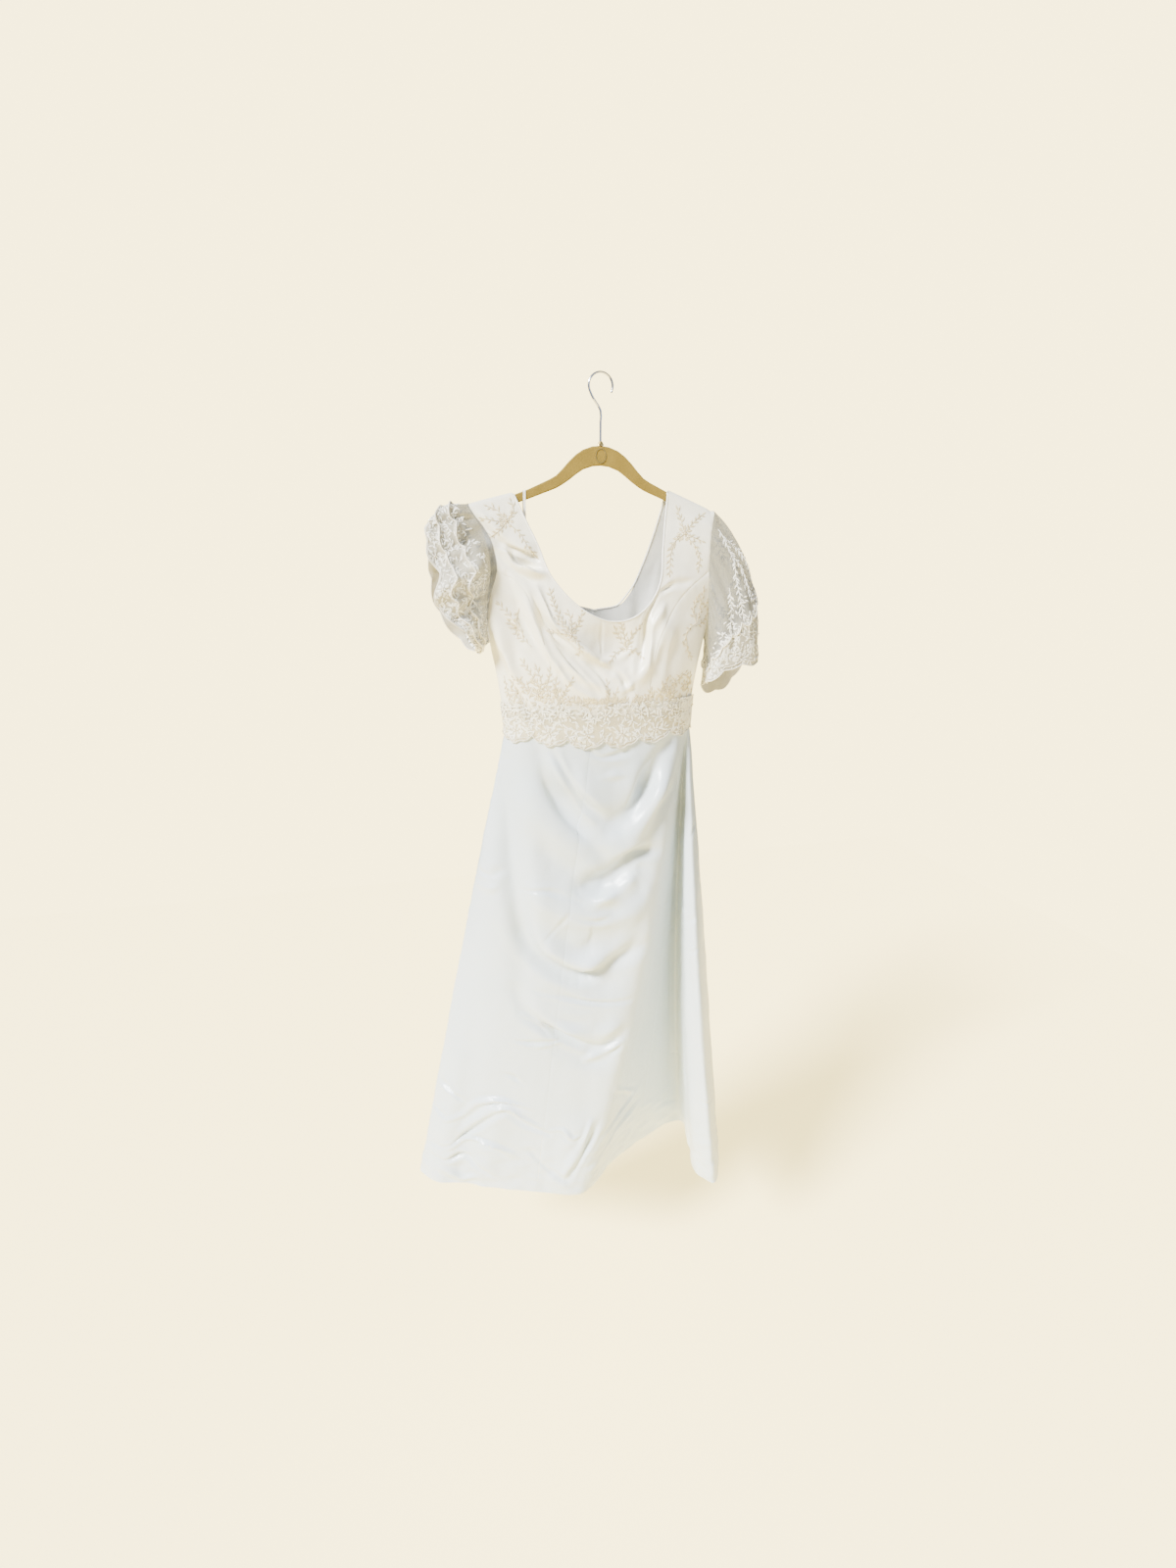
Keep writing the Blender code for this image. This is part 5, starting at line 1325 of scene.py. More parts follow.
sleeves = {
    "organzaWall": 0.0006,
    "armholeGap": 0.0004,
    "rightCuff": (
        (0.314, -0.006, -0.470),
        (0.309, -0.028, -0.500),
        (0.280, -0.044, -0.500),
        (0.244, -0.052, -0.506),
        (0.202, -0.050, -0.529),
        (0.2140, -0.006, -0.536),
        (0.218, 0.028, -0.546),
        (0.236, 0.042, -0.562),
        (0.268, 0.038, -0.556),
        (0.296, 0.022, -0.515),
    ),
    "leftCuff": (
        (-0.288, -0.004, -0.238),
        (-0.308, -0.026, -0.262),
        (-0.309, -0.042, -0.300),
        (-0.292, -0.048, -0.338),
        (-0.301, -0.052, -0.382),
        (-0.264, -0.054, -0.422),
        (-0.232, -0.030, -0.456),
        (-0.234, 0.012, -0.468),
        (-0.256, 0.038, -0.448),
        (-0.292, 0.042, -0.392),
        (-0.302, 0.034, -0.318),
        (-0.296, 0.018, -0.258),
    ),
    "sleeveRows": 60,
    "sleeveBelly": 0.010,
    "rightSleevePuff": (0.026, 0.013),
    "leftSleevePuff": (0.012, -0.004),
    "cuffScallops": 10,
    "cuffScallopDepth": 0.005,
    "columns": 240,
    # folds as down and round at both ends, height, half width
    "rightStyle": {
        "gathers": 26, "gatherHeight": 0.0012, "gatherLength": 0.16,
        "crumple": 0.0022, "crumpleScale": 0.04, "bandStart": 0.52, "bandLeaves": 800,
        "tiers": ((0.64, 0.05, 15),), "tierHeight": 0.002,
        "folds": ((0.02, 0.10, 0.75, 0.16, 0.004, 0.018), (0.05, 0.20, 0.85, 0.27, -0.004, 0.02),
                  (0.02, 0.03, 0.70, 0.06, -0.003, 0.015), (0.10, 0.88, 0.80, 0.90, 0.004, 0.02)),
        "sprays": (((0.05, 0.06), (0.20, 0.09), (0.38, 0.08), (0.55, 0.10)),
                   ((0.20, 0.09), (0.32, 0.14), (0.46, 0.17), (0.60, 0.18)),
                   ((0.12, 0.07), (0.26, 0.04), (0.42, 0.02), (0.56, 0.01)),
                   ((0.30, 0.20), (0.42, 0.23), (0.56, 0.27)),
                   ((0.10, 0.93), (0.26, 0.92), (0.44, 0.94), (0.58, 0.92)),
                   ((0.20, 0.80), (0.36, 0.79), (0.54, 0.82)),
                   ((0.25, 0.55), (0.40, 0.58), (0.58, 0.56))),
    },
    "leftStyle": {
        "gathers": 24, "gatherHeight": 0.0016, "gatherLength": 0.30,
        "crumple": 0.0080, "crumpleScale": 0.030, "bandStart": 0.20, "bandLeaves": 1250,
        "tiers": ((0.34, 0.08, 13), (0.64, 0.07, 13)), "tierHeight": 0.0045,
        "folds": ((0.05, 0.12, 0.90, 0.16, -0.010, 0.022), (0.10, 0.20, 0.95, 0.26, 0.007, 0.025),
                  (0.10, 0.32, 0.95, 0.36, -0.007, 0.02), (0.10, 0.03, 0.95, 0.05, 0.006, 0.025)),
        "sprays": (((0.10, 0.25), (0.30, 0.27), (0.50, 0.25)),
                   ((0.08, 0.38), (0.26, 0.40), (0.45, 0.42)),
                   ((0.10, 0.70), (0.30, 0.72), (0.50, 0.70)),
                   ((0.10, 0.90), (0.30, 0.92), (0.50, 0.90))),
    },
}


def armholeRing(side, front, sidePanel, back):
    straps = len(bodice["ridgeDrops"]) + bodice["strapRows"]
    strap = edgeRun(front, -1)[:straps] if side < 0 else edgeRun(front, -1)[:-straps - 1:-1]
    turned = sidePanel[0].transpose(1, 0, 2), sidePanel[1].transpose(1, 0, 2)
    under = edgeRun(turned, -1)
    rise = edgeRun(back, -1)[:len(bodice["ridgeDrops"]) + bodice["backArmholeRows"]][::-1]
    return np.vstack([strap, under, rise])


# Even steps round the armhole's ring, whose panels have rows of unlike lengths
def evenRing(ring, columns):
    first = ring[:, 0]
    steps = np.linalg.norm(np.diff(first, axis=0, append=first[:1]), axis=1)
    run = np.concatenate([[0], np.cumsum(steps)])
    closed = np.concatenate([ring, ring[:1]])
    where = np.arange(columns) / columns * run[-1]
    even = np.stack([
        np.stack([np.interp(where, run, closed[:, j, k]) for k in range(3)], axis=1)
        for j in range(3)
    ], axis=1)
    even[:, 1] = unit(even[:, 1])
    return even, np.arange(columns) / columns


# Folds of a sleeve over (share of the length, share of the way round)
def sleeveRise(down, around, style):
    rise = np.zeros(np.broadcast(down, around).shape)
    gathers = np.sin(around * 2 * math.pi * style["gathers"] + 2.2 * np.sin(around * 19))
    rise += style["gatherHeight"] * gathers * np.exp(-down / style["gatherLength"])
    for d0, r0, d1, r1, height, width in style["folds"]:
        run = np.array([d1 - d0, (r1 - r0)])
        length = np.hypot(*run)
        share = ((down - d0) * run[0] + (around - r0) * run[1]) / length**2
        off = ((around - r0) * run[0] - (down - d0) * run[1]) / length
        ends = smoothStep((share + 0.15) / 0.3) * smoothStep((1.15 - share) / 0.3)
        rise += height * ends * np.exp(-((off / width) ** 2))
    for spot, depth, turns in style["tiers"]:  # lace tiers lap over each other
        edge = spot + depth * np.abs(np.sin(around * math.pi * turns))
        past = (down - edge) / 0.10
        lip = np.where(past < 0, smoothStep(1 + past), np.exp(-((past / 0.18) ** 2)))
        rise = rise + style["tierHeight"] * lip
    return rise


def makeSleeve(side, ring, cuff, puff, style, name, node):
    liftOut, liftUp = puff
    ring, shares = evenRing(ring, sleeves["columns"])
    first = ring[:, 0] + ring[:, 1] * (sleeves["organzaWall"] + sleeves["armholeGap"])
    last = along(cuff, shares, closed=True)
    scallop = np.abs(np.sin(shares * math.pi * sleeves["cuffScallops"]))
    crown = 0.5 + 0.5 * np.cos(shares * 2 * math.pi)
    axis = unit(last.mean(axis=0) - first.mean(axis=0))
    last = last + axis * (sleeves["cuffScallopDepth"] * scallop)[:, None]
    rows = []
    downs = np.linspace(0, 1, sleeves["sleeveRows"] + 1)
    for share in downs:
        row = first * (1 - share) + last * share
        rise = math.sin(math.pi * share) ** 0.8
        row[:, 0] += side * liftOut * rise * (0.25 + 0.75 * crown)
        row[:, 2] += liftUp * rise * crown
        belly = unit((row - row.mean(axis=0)) * (0.0, 1.0, 0.3))
        rows.append(row + belly * sleeves["sleeveBelly"] * math.sin(math.pi * share))
    points = np.array(rows)
    normals = girthNormals(points)
    if (normals * (points - points.mean(axis=1, keepdims=True))).sum() < 0:
        normals = -normals
    fade = smoothStep(downs / 0.06)[:, None]
    rise = sleeveRise(downs[:, None], shares[None], style)
    rise = rise + style["crumple"] * perlin(points, style["crumpleScale"], 7.0)
    rise = rise + 0.0006 * perlin(points, 0.012, 1.0)
    points = points + normals * (rise * fade)[..., None]
    normals[0] = ring[:, 1]
    fill = smoothStep((downs - style["bandStart"]) / 0.22)[:, None] * np.ones(len(shares))
    piece = clothWall(name, points, points - normals * sleeves["organzaWall"],
                      finishes["organza"], ring=True, fill=fill)
    seatSheet(node)
    return points, normals


# Hanger

hanger = {
    "hangerArm": (
        (0.0000, -0.1165, -0.1497),
        (0.0150, -0.1180, -0.1512),
        (0.0320, -0.1240, -0.1570),
        (0.0450, -0.1325, -0.1655),
        (0.0575, -0.1440, -0.1750),
        (0.0700, -0.1575, -0.1832),
        (0.0810, -0.1680, -0.1893),
        (0.0930, -0.1748, -0.1940),
        (0.1050, -0.1803, -0.1985),
        (0.1300, -0.1917, -0.2080),
        (0.1570, -0.2020, -0.2172),
        (0.1850, -0.2130, -0.2270),
        (0.2060, -0.2215, -0.2338),
        (0.2125, -0.2255, -0.2320),
    ),
    "hangerThickness": 0.005,
    "ribbonX": -0.1385,
    "ribbonWidth": 0.0045,
    "ribbonWall": 0.001,
    "ribbonLength": 0.060,
}


def hangerTop(x):
    arm = np.array(hanger["hangerArm"])
    return float(np.interp(abs(x), arm[:, 0], arm[:, 1]))


def hangingRibbon():
    x0, half = hanger["ribbonX"], hanger["ribbonWidth"] / 2
    top = hangerTop(x0)
    slope = (hangerTop(x0 + 0.002) - hangerTop(x0 - 0.002)) / 0.004
    near = hanger["hangerThickness"] / 2 + 2 * bodice["touchGap"]
    arcZ = top - hanger["hangerThickness"] / 2 + bodice["touchGap"]
    bottom = top - hanger["ribbonLength"]
    turn = np.linspace(math.pi, 0, 15)
    down = np.linspace(bottom, arcZ, 24)[:-1]
    grids = []
    for out in (near + hanger["ribbonWall"] * 0.6, near):
        line = [(-out, z) for z in down]
        line += [(out * math.cos(a), arcZ + out * math.sin(a)) for a in turn]
        line += [(out, z) for z in down[::-1]]
        across = np.linspace(-half, half, 5)
        grid = np.array([[(x0 + dx, y, z + dx * slope) for dx in across] for y, z in line])
        grids.append(grid)
    piece = clothWall("hangingRibbon", grids[0], grids[1], finishes["pipingSatin"])
    seatSheet("hanger_ribbon")


def dressHanger():
    for node, finish in (("hanger_body", "flock"), ("hanger_hook", "chrome"),
                         ("hook_ferrule", "gilt"), ("hanger_badge", "gilt")):
        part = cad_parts[node]
        part.data.materials.clear()
        part.data.materials.append(finishes[finish])


# Embroidery: each stitched shape is modelled once, then copied and laid on the cloth

embroidery = {
    "lift": 0.0002,
    "leaf": (0.0038, 0.0112, 0.0017),  # width, length, height of a leaf
    "leafSpacing": 0.0052,
    "leafAngle": 38.0,
    "stemRadius": 0.0007,
    "petals": 7,
    "beadRadius": 0.0016,
    "seedRadius": 0.0008,
    # flowers over the band as x, rise above it, radius
    "crestFlowers": ((-0.163, 0.020, 0.0125), (-0.122, 0.014, 0.0115), (-0.075, 0.006, 0.0105),
                     (0.070, 0.004, 0.0105), (0.118, 0.016, 0.0115), (0.160, 0.022, 0.0125)),
    "crestLeaves": 330,
    # flowers on the bodice front as x, z, radius
    "flowers": (
        (-0.173, -0.247, 0.014),
        (0.155, -0.263, 0.015),
        (-0.071, -0.440, 0.014),
        (0.039, -0.467, 0.012),
        (-0.128, -0.546, 0.013),
        (0.129, -0.555, 0.009),
        (0.083, -0.553, 0.008),
    ),
    "sprays": (
        ((-0.173, -0.247), (-0.188, -0.229), (-0.203, -0.223)),
        ((-0.173, -0.247), (-0.16, -0.228), (-0.163, -0.215)),
        ((-0.173, -0.247), (-0.186, -0.262), (-0.2, -0.273)),
        ((-0.166, -0.254), (-0.15, -0.269), (-0.14, -0.288), (-0.123, -0.306)),
        ((-0.173, -0.247), (-0.193, -0.247), (-0.213, -0.243)),
        ((0.155, -0.263), (0.15, -0.24), (0.144, -0.222)),
        ((0.155, -0.263), (0.177, -0.24), (0.193, -0.229)),
        ((0.155, -0.263), (0.136, -0.277), (0.127, -0.286)),
        ((0.159, -0.269), (0.175, -0.285), (0.184, -0.305), (0.182, -0.324)),
        ((0.155, -0.263), (0.171, -0.269), (0.187, -0.275)),
        ((0.141, -0.269), (0.126, -0.298), (0.122, -0.331)),
        ((-0.149, -0.444), (-0.168, -0.414), (-0.19, -0.388)),
        ((-0.138, -0.46), (-0.157, -0.442), (-0.174, -0.418)),
        ((-0.156, -0.394), (-0.162, -0.414), (-0.161, -0.434)),
        ((-0.123, -0.541), (-0.138, -0.511), (-0.154, -0.487)),
        ((-0.128, -0.546), (-0.146, -0.535), (-0.169, -0.517)),
        ((-0.128, -0.546), (-0.123, -0.52), (-0.13, -0.499)),
        ((-0.128, -0.546), (-0.111, -0.524), (-0.107, -0.503)),
        ((-0.071, -0.44), (-0.085, -0.414), (-0.098, -0.386), (-0.103, -0.366)),
        ((-0.071, -0.44), (-0.089, -0.436), (-0.106, -0.434)),
        ((-0.071, -0.44), (-0.053, -0.418), (-0.049, -0.402)),
        ((-0.071, -0.44), (-0.057, -0.455), (-0.054, -0.471)),
        ((-0.071, -0.44), (-0.085, -0.426), (-0.095, -0.414)),
        ((-0.071, -0.44), (-0.068, -0.414), (-0.072, -0.402)),
        ((0.039, -0.467), (0.026, -0.449), (0.016, -0.432)),
        ((0.039, -0.467), (0.046, -0.445), (0.062, -0.428)),
        ((0.039, -0.467), (0.021, -0.474), (0.007, -0.486)),
        ((0.039, -0.467), (0.057, -0.474), (0.066, -0.482)),
        ((0.039, -0.467), (0.031, -0.436), (0.025, -0.42)),
        ((0.185, -0.397), (0.192, -0.381), (0.194, -0.364)),
        ((0.181, -0.423), (0.172, -0.401), (0.181, -0.38)),
        ((0.181, -0.423), (0.159, -0.439), (0.154, -0.456)),
        ((0.178, -0.431), (0.202, -0.419), (0.209, -0.402)),
        ((0.181, -0.423), (0.191, -0.402), (0.203, -0.385)),
        ((0.159, -0.452), (0.16, -0.469), (0.17, -0.487)),
        ((-0.091, -0.566), (-0.082, -0.541), (-0.07, -0.52)),
        ((-0.091, -0.566), (-0.099, -0.54), (-0.097, -0.52)),
        ((-0.032, -0.584), (-0.04, -0.567), (-0.053, -0.554)),
        ((-0.01, -0.581), (-0.002, -0.551), (-0.003, -0.528)),
        ((-0.01, -0.581), (0.007, -0.56), (0.014, -0.543)),
        ((0.072, -0.585), (0.081, -0.564), (0.083, -0.547)),
        ((0.117, -0.575), (0.129, -0.555), (0.136, -0.533), (0.158, -0.517)),
        ((0.106, -0.57), (0.103, -0.543), (0.115, -0.527)),
        ((0.072, -0.585), (0.06, -0.571), (0.055, -0.558)),
        ((0.161, -0.553), (0.173, -0.537), (0.174, -0.523)),
        ((-0.184, -0.513), (-0.18, -0.535), (-0.173, -0.56)),
    ),
    # the same kind of sprays on the back
    "backFlowers": ((-0.150, -0.300, 0.013), (0.150, -0.300, 0.013), (-0.120, -0.520, 0.012),
                    (0.120, -0.520, 0.012), (0.0, -0.510, 0.011)),
    "backSprays": (
        ((-0.150, -0.300), (-0.160, -0.265), (-0.155, -0.240)),
        ((-0.150, -0.300), (-0.130, -0.330), (-0.110, -0.350)),
        ((-0.150, -0.300), (-0.165, -0.340), (-0.160, -0.375)),
        ((0.150, -0.300), (0.160, -0.265), (0.155, -0.240)),
        ((0.150, -0.300), (0.130, -0.330), (0.110, -0.350)),
        ((0.150, -0.300), (0.165, -0.340), (0.160, -0.375)),
        ((-0.120, -0.520), (-0.135, -0.485), (-0.130, -0.450)),
        ((-0.120, -0.520), (-0.095, -0.500), (-0.080, -0.475)),
        ((0.120, -0.520), (0.135, -0.485), (0.130, -0.450)),
        ((0.120, -0.520), (0.095, -0.500), (0.080, -0.475)),
        ((0.0, -0.510), (-0.012, -0.480), (-0.010, -0.455)),
        ((0.0, -0.510), (0.012, -0.485), (0.020, -0.465)),
    ),
}
draw = np.random.default_rng(41)


# A stitched shape: a ball drawn out along Y, narrow at its base, flat underneath
def modelStitch(name, basePinch, tipPinch):
    bpy.ops.object.select_all(action="DESELECT")
    bpy.ops.mesh.primitive_uv_sphere_add(segments=6, ring_count=4, radius=0.5,
                                         rotation=(math.radians(90), 0, 0))
    bpy.ops.object.transform_apply(rotation=True)
    shape = bpy.context.object
    for pinch, end in ((basePinch, -1), (tipPinch, 1)):
        for vertex in shape.data.vertices:
            vertex.select = vertex.co.y * end > 0.2
        for edge in shape.data.edges:
            edge.select = all(shape.data.vertices[i].select for i in edge.vertices)
        for face in shape.data.polygons:
            face.select = all(shape.data.vertices[i].select for i in face.vertices)
        bpy.ops.object.mode_set(mode="EDIT")
        bpy.ops.transform.resize(value=(pinch, 1.0, 0.8), center_override=(0.0, 0.0, 0.0))
        bpy.ops.object.mode_set(mode="OBJECT")
    places = np.array([v.co for v in shape.data.vertices])
    faces = [tuple(p.vertices) for p in shape.data.polygons]
    bpy.data.objects.remove(shape)
    places[:, 1] += 0.5
    places[:, 2] = np.where(places[:, 2] < 0, places[:, 2] * 0.35, places[:, 2])
    print(name, len(faces), "faces")
    return places, faces


def modelBead():
    bpy.ops.object.select_all(action="DESELECT")
    bpy.ops.mesh.primitive_ico_sphere_add(subdivisions=1, radius=1.0)
    shape = bpy.context.object
    places = np.array([v.co for v in shape.data.vertices])
    faces = [tuple(p.vertices) for p in shape.data.polygons]
    bpy.data.objects.remove(shape)
    places[:, 1] += 0.5
    return places, faces


leafShape = modelStitch("leaf", 0.55, 0.6)
petalShape = modelStitch("petal", 0.45, 0.95)
beadShape = modelBead()


def cloth(*grids):
    places, faces, start = [], [], 0
    for grid in grids:
        rows, columns = grid.shape[:2]
        ids = np.arange(rows * columns).reshape(rows, columns) + start
        faces.append(np.stack([ids[:-1, :-1], ids[:-1, 1:], ids[1:, 1:], ids[1:, :-1]],
                              axis=2).reshape(-1, 4))
        places.append(grid.reshape(-1, 3))
        start += rows * columns
    return BVHTree.FromPolygons(np.vstack(places).tolist(), np.vstack(faces).tolist())


def newWork():
    return {"places": [], "faces": [], "maps": [], "tones": [], "count": 0}


def addPart(work, places, faces, maps, tone):
    start = work["count"]
    work["places"].append(places)
    work["faces"] += [tuple(i + start for i in face) for face in faces]
    work["maps"].append(maps)
    work["tones"].append(np.full(len(places), tone))
    work["count"] += len(places)


# Lays points on the cloth and lifts them along its outward normal
def lay(surface, spots, lifts, outward):
    laid = np.zeros(spots.shape)
    for i, spot in enumerate(spots):
        near, normal, _, _ = surface.find_nearest(Vector(spot))
        if normal.dot(outward) < 0:
            normal = -normal
        laid[i] = near + normal * float(lifts[i])
    return laid


def addStitch(work, surface, shape, at, outward, heading, size, tone):
    places, faces = shape
    width, length, height = size
    heading = Vector(heading).normalized()
    outward = Vector(outward).normalized()
    across = np.array(heading.cross(outward))
    spots = (np.array(at) + places[:, :1] * width * across
             + places[:, 1:2] * length * np.array(heading))
    laid = lay(surface, spots, places[:, 2] * height + embroidery["lift"], outward)
    maps = np.stack([places[:, 0] + 0.5, places[:, 1] * length * 1000], axis=1)
    addPart(work, laid, faces, maps, tone)


def addBead(work, at, outward, radius):
    places, faces = beadShape
    spots = np.array(at) + (places - (0, 0.5, 0)) * radius + np.array(outward) * radius * 0.7
    addPart(work, spots, faces, places[:, :2] * 0, 0.5)


def addThread(work, surface, path, outward, radius, tone, sides=5):
    laid = lay(surface, np.asarray(path), np.full(len(path), radius * 0.6), outward)
    rings = tubeRings(laid, radius, sides)
    count = len(rings)
    ids = np.arange(count * sides).reshape(count, sides)
    around = np.concatenate([ids, ids[:, :1]], axis=1)
    faces = np.stack([around[:-1, :-1], around[:-1, 1:], around[1:, 1:], around[1:, :-1]],
                     axis=2).reshape(-1, 4)
    faces = [tuple(f) for f in faces.tolist()]
    faces.append(tuple(range(sides))[::-1])
    faces.append(tuple((count - 1) * sides + s for s in range(sides)))
    turn = np.tile(np.arange(sides) / sides, count)
    run = np.repeat(np.arange(count) * 1.0, sides)
    addPart(work, rings.reshape(-1, 3), faces, np.stack([turn, run], axis=1), tone)


# Motifs that climb from the band on to the bodice, highest towards the sides
def crestStitches(work, beads, surface, count):
    top = lace["laceTopZ"]
    flowers = []
    for x, rise, radius in embroidery["crestFlowers"]:
        at, outward = onCloth(surface, x, top + rise, -1)
        addFlower(work, beads, surface, at, outward, radius)
        flowers.append((at, radius))
    made = 0
    while made < count:
        x = draw.uniform(-0.180, 0.180)
        reach = 0.008 + 0.040 * float(smoothStep((abs(x) - 0.055) / 0.08))
        z = top - 0.004 + reach * draw.uniform(0, 1) ** 1.4
        at, outward = onCloth(surface, x, z, -1)
        if any((at - f).length < r * 0.7 for f, r in flowers):
            continue
        angle = draw.normal(0, 0.7)
        size = draw.uniform(0.75, 1.15)
        width, length, height = embroidery["leaf"]
        up = (Vector((0, 0, 1)) - outward * outward.z).normalized()
        side = up.cross(outward)
        addStitch(work, surface, leafShape, at, outward,
                  up * math.cos(angle) + side * math.sin(angle),
                  (width * size, length * size, height), draw.uniform(0.5, 1.0))
        made += 1


def finishWork(name, work, finish):
    mesh = bpy.data.meshes.new(name)
    mesh.from_pydata(np.vstack(work["places"]).tolist(), [], work["faces"])
    mesh.materials.append(finish)
    corners = np.zeros(len(mesh.loops), dtype=np.int32)
    mesh.loops.foreach_get("vertex_index", corners)
    layer = mesh.uv_layers.new(name="cut")
    layer.data.foreach_set("uv", np.vstack(work["maps"])[corners].ravel())
    shade = mesh.attributes.new("tone", "FLOAT", "POINT")
    shade.data.foreach_set("value", np.concatenate(work["tones"]).astype(np.float32))
    piece = finishMesh(name, mesh, 70.0)
    return piece


def onCloth(surface, x, z, face):
    hit = surface.ray_cast(Vector((x, 0.5 * face, z)), Vector((0, -face, 0)))
    if hit[0] is None:
        hit = surface.find_nearest(Vector((x, 0.05 * face, z)))
    normal = hit[1] if hit[1].y * face > 0 else -hit[1]
    return hit[0], normal


# A flower: a ring of petals, a smaller ring on it, a bead and seeds in the middle
def addFlower(work, beads, surface, at, outward, radius, tone=0.6):
    outward = Vector(outward).normalized()
    up = Vector((0, 0, 1)) - outward * outward.z
    up = up.normalized() if up.length > 0.1 else Vector((1, 0, 0))
    side = up.cross(outward)
    start = draw.uniform(0, 6.28)
    for ring, (count, near, reach, wide) in enumerate((
        (embroidery["petals"], 0.34, 0.66, 0.50), (5, 0.08, 0.38, 0.26),
    )):
        for k in range(count):
            angle = start + ring * 0.4 + k * 2 * math.pi / count
            heading = up * math.cos(angle) + side * math.sin(angle)
            long_ = radius * reach * draw.uniform(0.9, 1.1)
            addStitch(work, surface, petalShape, Vector(at) + heading * radius * near, outward,
                      heading, (radius * wide, long_, 0.0013 + 0.0004 * ring),
                      tone * draw.uniform(0.6, 1.2))
    addBead(beads, Vector(at) + outward * 0.0006, outward, embroidery["beadRadius"])
    for k in range(6):
        angle = k * math.pi / 3 + start
        spot = Vector(at) + (up * math.cos(angle) + side * math.sin(angle)) * radius * 0.24
        addBead(beads, spot, outward, embroidery["seedRadius"])


# A spray: a stem with leaves on alternate sides and one at its tip
def addSpray(work, surface, path, outwards, tone=0.8, scale=1.0):
    path = np.asarray(path)
    lengths = np.linalg.norm(np.diff(path, axis=0), axis=1)
    run = np.concatenate([[0], np.cumsum(lengths)])
    middle = Vector(outwards[len(outwards) // 2])
    addThread(work, surface, path, middle, embroidery["stemRadius"], tone)
    width, length, height = embroidery["leaf"]
    count = max(2, int(run[-1] / embroidery["leafSpacing"] / scale))
    for k in range(1, count + 1):
        where = run[-1] * k / count
        i = min(int(np.searchsorted(run, where)), len(path) - 1)
        tangent = Vector(path[i] - path[i - 1]).normalized()
        outward = Vector(outwards[i]).normalized()
        across = outward.cross(tangent)
        angle = math.radians(embroidery["leafAngle"]) * (-1) ** k * draw.uniform(0.75, 1.2)
        if k == count:
            angle = 0.0
        heading = tangent * math.cos(angle) + across * math.sin(angle)
        size = draw.uniform(0.8, 1.15) * scale
        addStitch(work, surface, leafShape, path[i], outward, heading,
                  (width * size, length * size, height), tone * draw.uniform(0.6, 1.2))


def bodiceEmbroidery(surface, face, flowers, sprays, name):
    work, beads = newWork(), newWork()
    if face < 0:
        crestStitches(work, beads, surface, embroidery["crestLeaves"])
    for x, z, radius in flowers:
        at, outward = onCloth(surface, x, z, face)
        addFlower(work, beads, surface, at, outward, radius)
    for line in sprays:
        path = spline([(x, z) for x, z in line], 6)
        spots = [onCloth(surface, x, z, face) for x, z in path]
        addSpray(work, surface, [s[0] for s in spots], [s[1] for s in spots])
    floss = finishes["floss" if face < 0 else "laceFloss"]
    threads = finishWork(name, work, floss)
    beadWork = finishWork(name + "Beads", beads, finishes["bead"])
    return threads, beadWork


# A spot on a grid by its share down the rows and its share of the columns
def onGrid(grid, down, around):
    points, normals = grid[:2]
    r = min(max(down, 0), 1) * (points.shape[0] - 1)
    c = around * (points.shape[1] - 1)
    i, j = int(r), int(c)
    i2, j2 = min(i + 1, points.shape[0] - 1), min(j + 1, points.shape[1] - 1)
    fr, fc = r - i, c - j
    at = ((points[i, j] * (1 - fc) + points[i, j2] * fc) * (1 - fr)
          + (points[i2, j] * (1 - fc) + points[i2, j2] * fc) * fr)
    return Vector(at), Vector(normals[i, j])


# Leaves scattered over a band of cloth, clear of the flowers
def scatterLeaves(work, surface, grid, flowers, downs, rounds, count, tone, scale=0.9):
    width, length, height = embroidery["leaf"]
    made = 0
    for _ in range(count * 3):
        if made >= count:
            break
        at, outward = onGrid(grid, draw.uniform(*downs), draw.uniform(*rounds))
        if any((at - f).length < r * 0.75 for f, r in flowers):
            continue
        up = (Vector((0, 0, 1)) - outward * outward.z).normalized()
        side = up.cross(outward)
        angle = draw.uniform(0, 6.28)
        size = draw.uniform(0.7, 1.15) * scale
        addStitch(work, surface, leafShape, at, outward,
                  up * math.cos(angle) + side * math.sin(angle),
                  (width * size * 1.1, length * size, height), tone * draw.uniform(0.4, 1.2))
        made += 1


def laceEmbroidery(grid, name, count):
    points, normals, walk = grid
    surface = cloth(points)
    work, beads, cord = newWork(), newWork(), newWork()
    span = walk[-1] - walk[0]
    flowers = []
    scallops = lace["bigScallops"]
    for k in range(scallops):
        for down, offset, radius in ((0.70, 0.5, 0.0165), (0.33, 0.02, 0.0125)):
            place = ((k + offset) / scallops - walk[0]) / span
            if not 0.02 < place < 0.98:
                continue
            column = float(np.interp(walk[0] + place * span, walk, np.arange(len(walk))))
            at, outward = onGrid(grid, down, column / (len(walk) - 1))
            addFlower(work, beads, surface, at, outward, radius, 0.55)
            flowers.append((at, radius))
    scatterLeaves(work, surface, grid, flowers, (0.14, 0.97), (0.01, 0.99), count, 0.6, 1.1)
    scatterLeaves(work, surface, grid, flowers, (0.0, 0.22), (0.01, 0.99), count // 4, 0.8)
    for _ in range(count // 5):
        at, outward = onGrid(grid, draw.uniform(0.1, 0.95), draw.uniform(0.01, 0.99))
        addBead(beads, at + outward * 0.0003, outward, embroidery["seedRadius"])
    for inset, radius in ((0, 0.0010), (3, 0.0007)):
        line = points[-1 - inset] + normals[-1 - inset] * 0.0004
        addThread(cord, surface, line, Vector(normals[-1, len(line) // 2]), radius, 0.5, 6)
    return (finishWork(name + "Floss", work, finishes["laceFloss"]),
            finishWork(name + "Beads", beads, finishes["bead"]),
            finishWork(name + "Cord", cord, finishes["edgeCord"]))


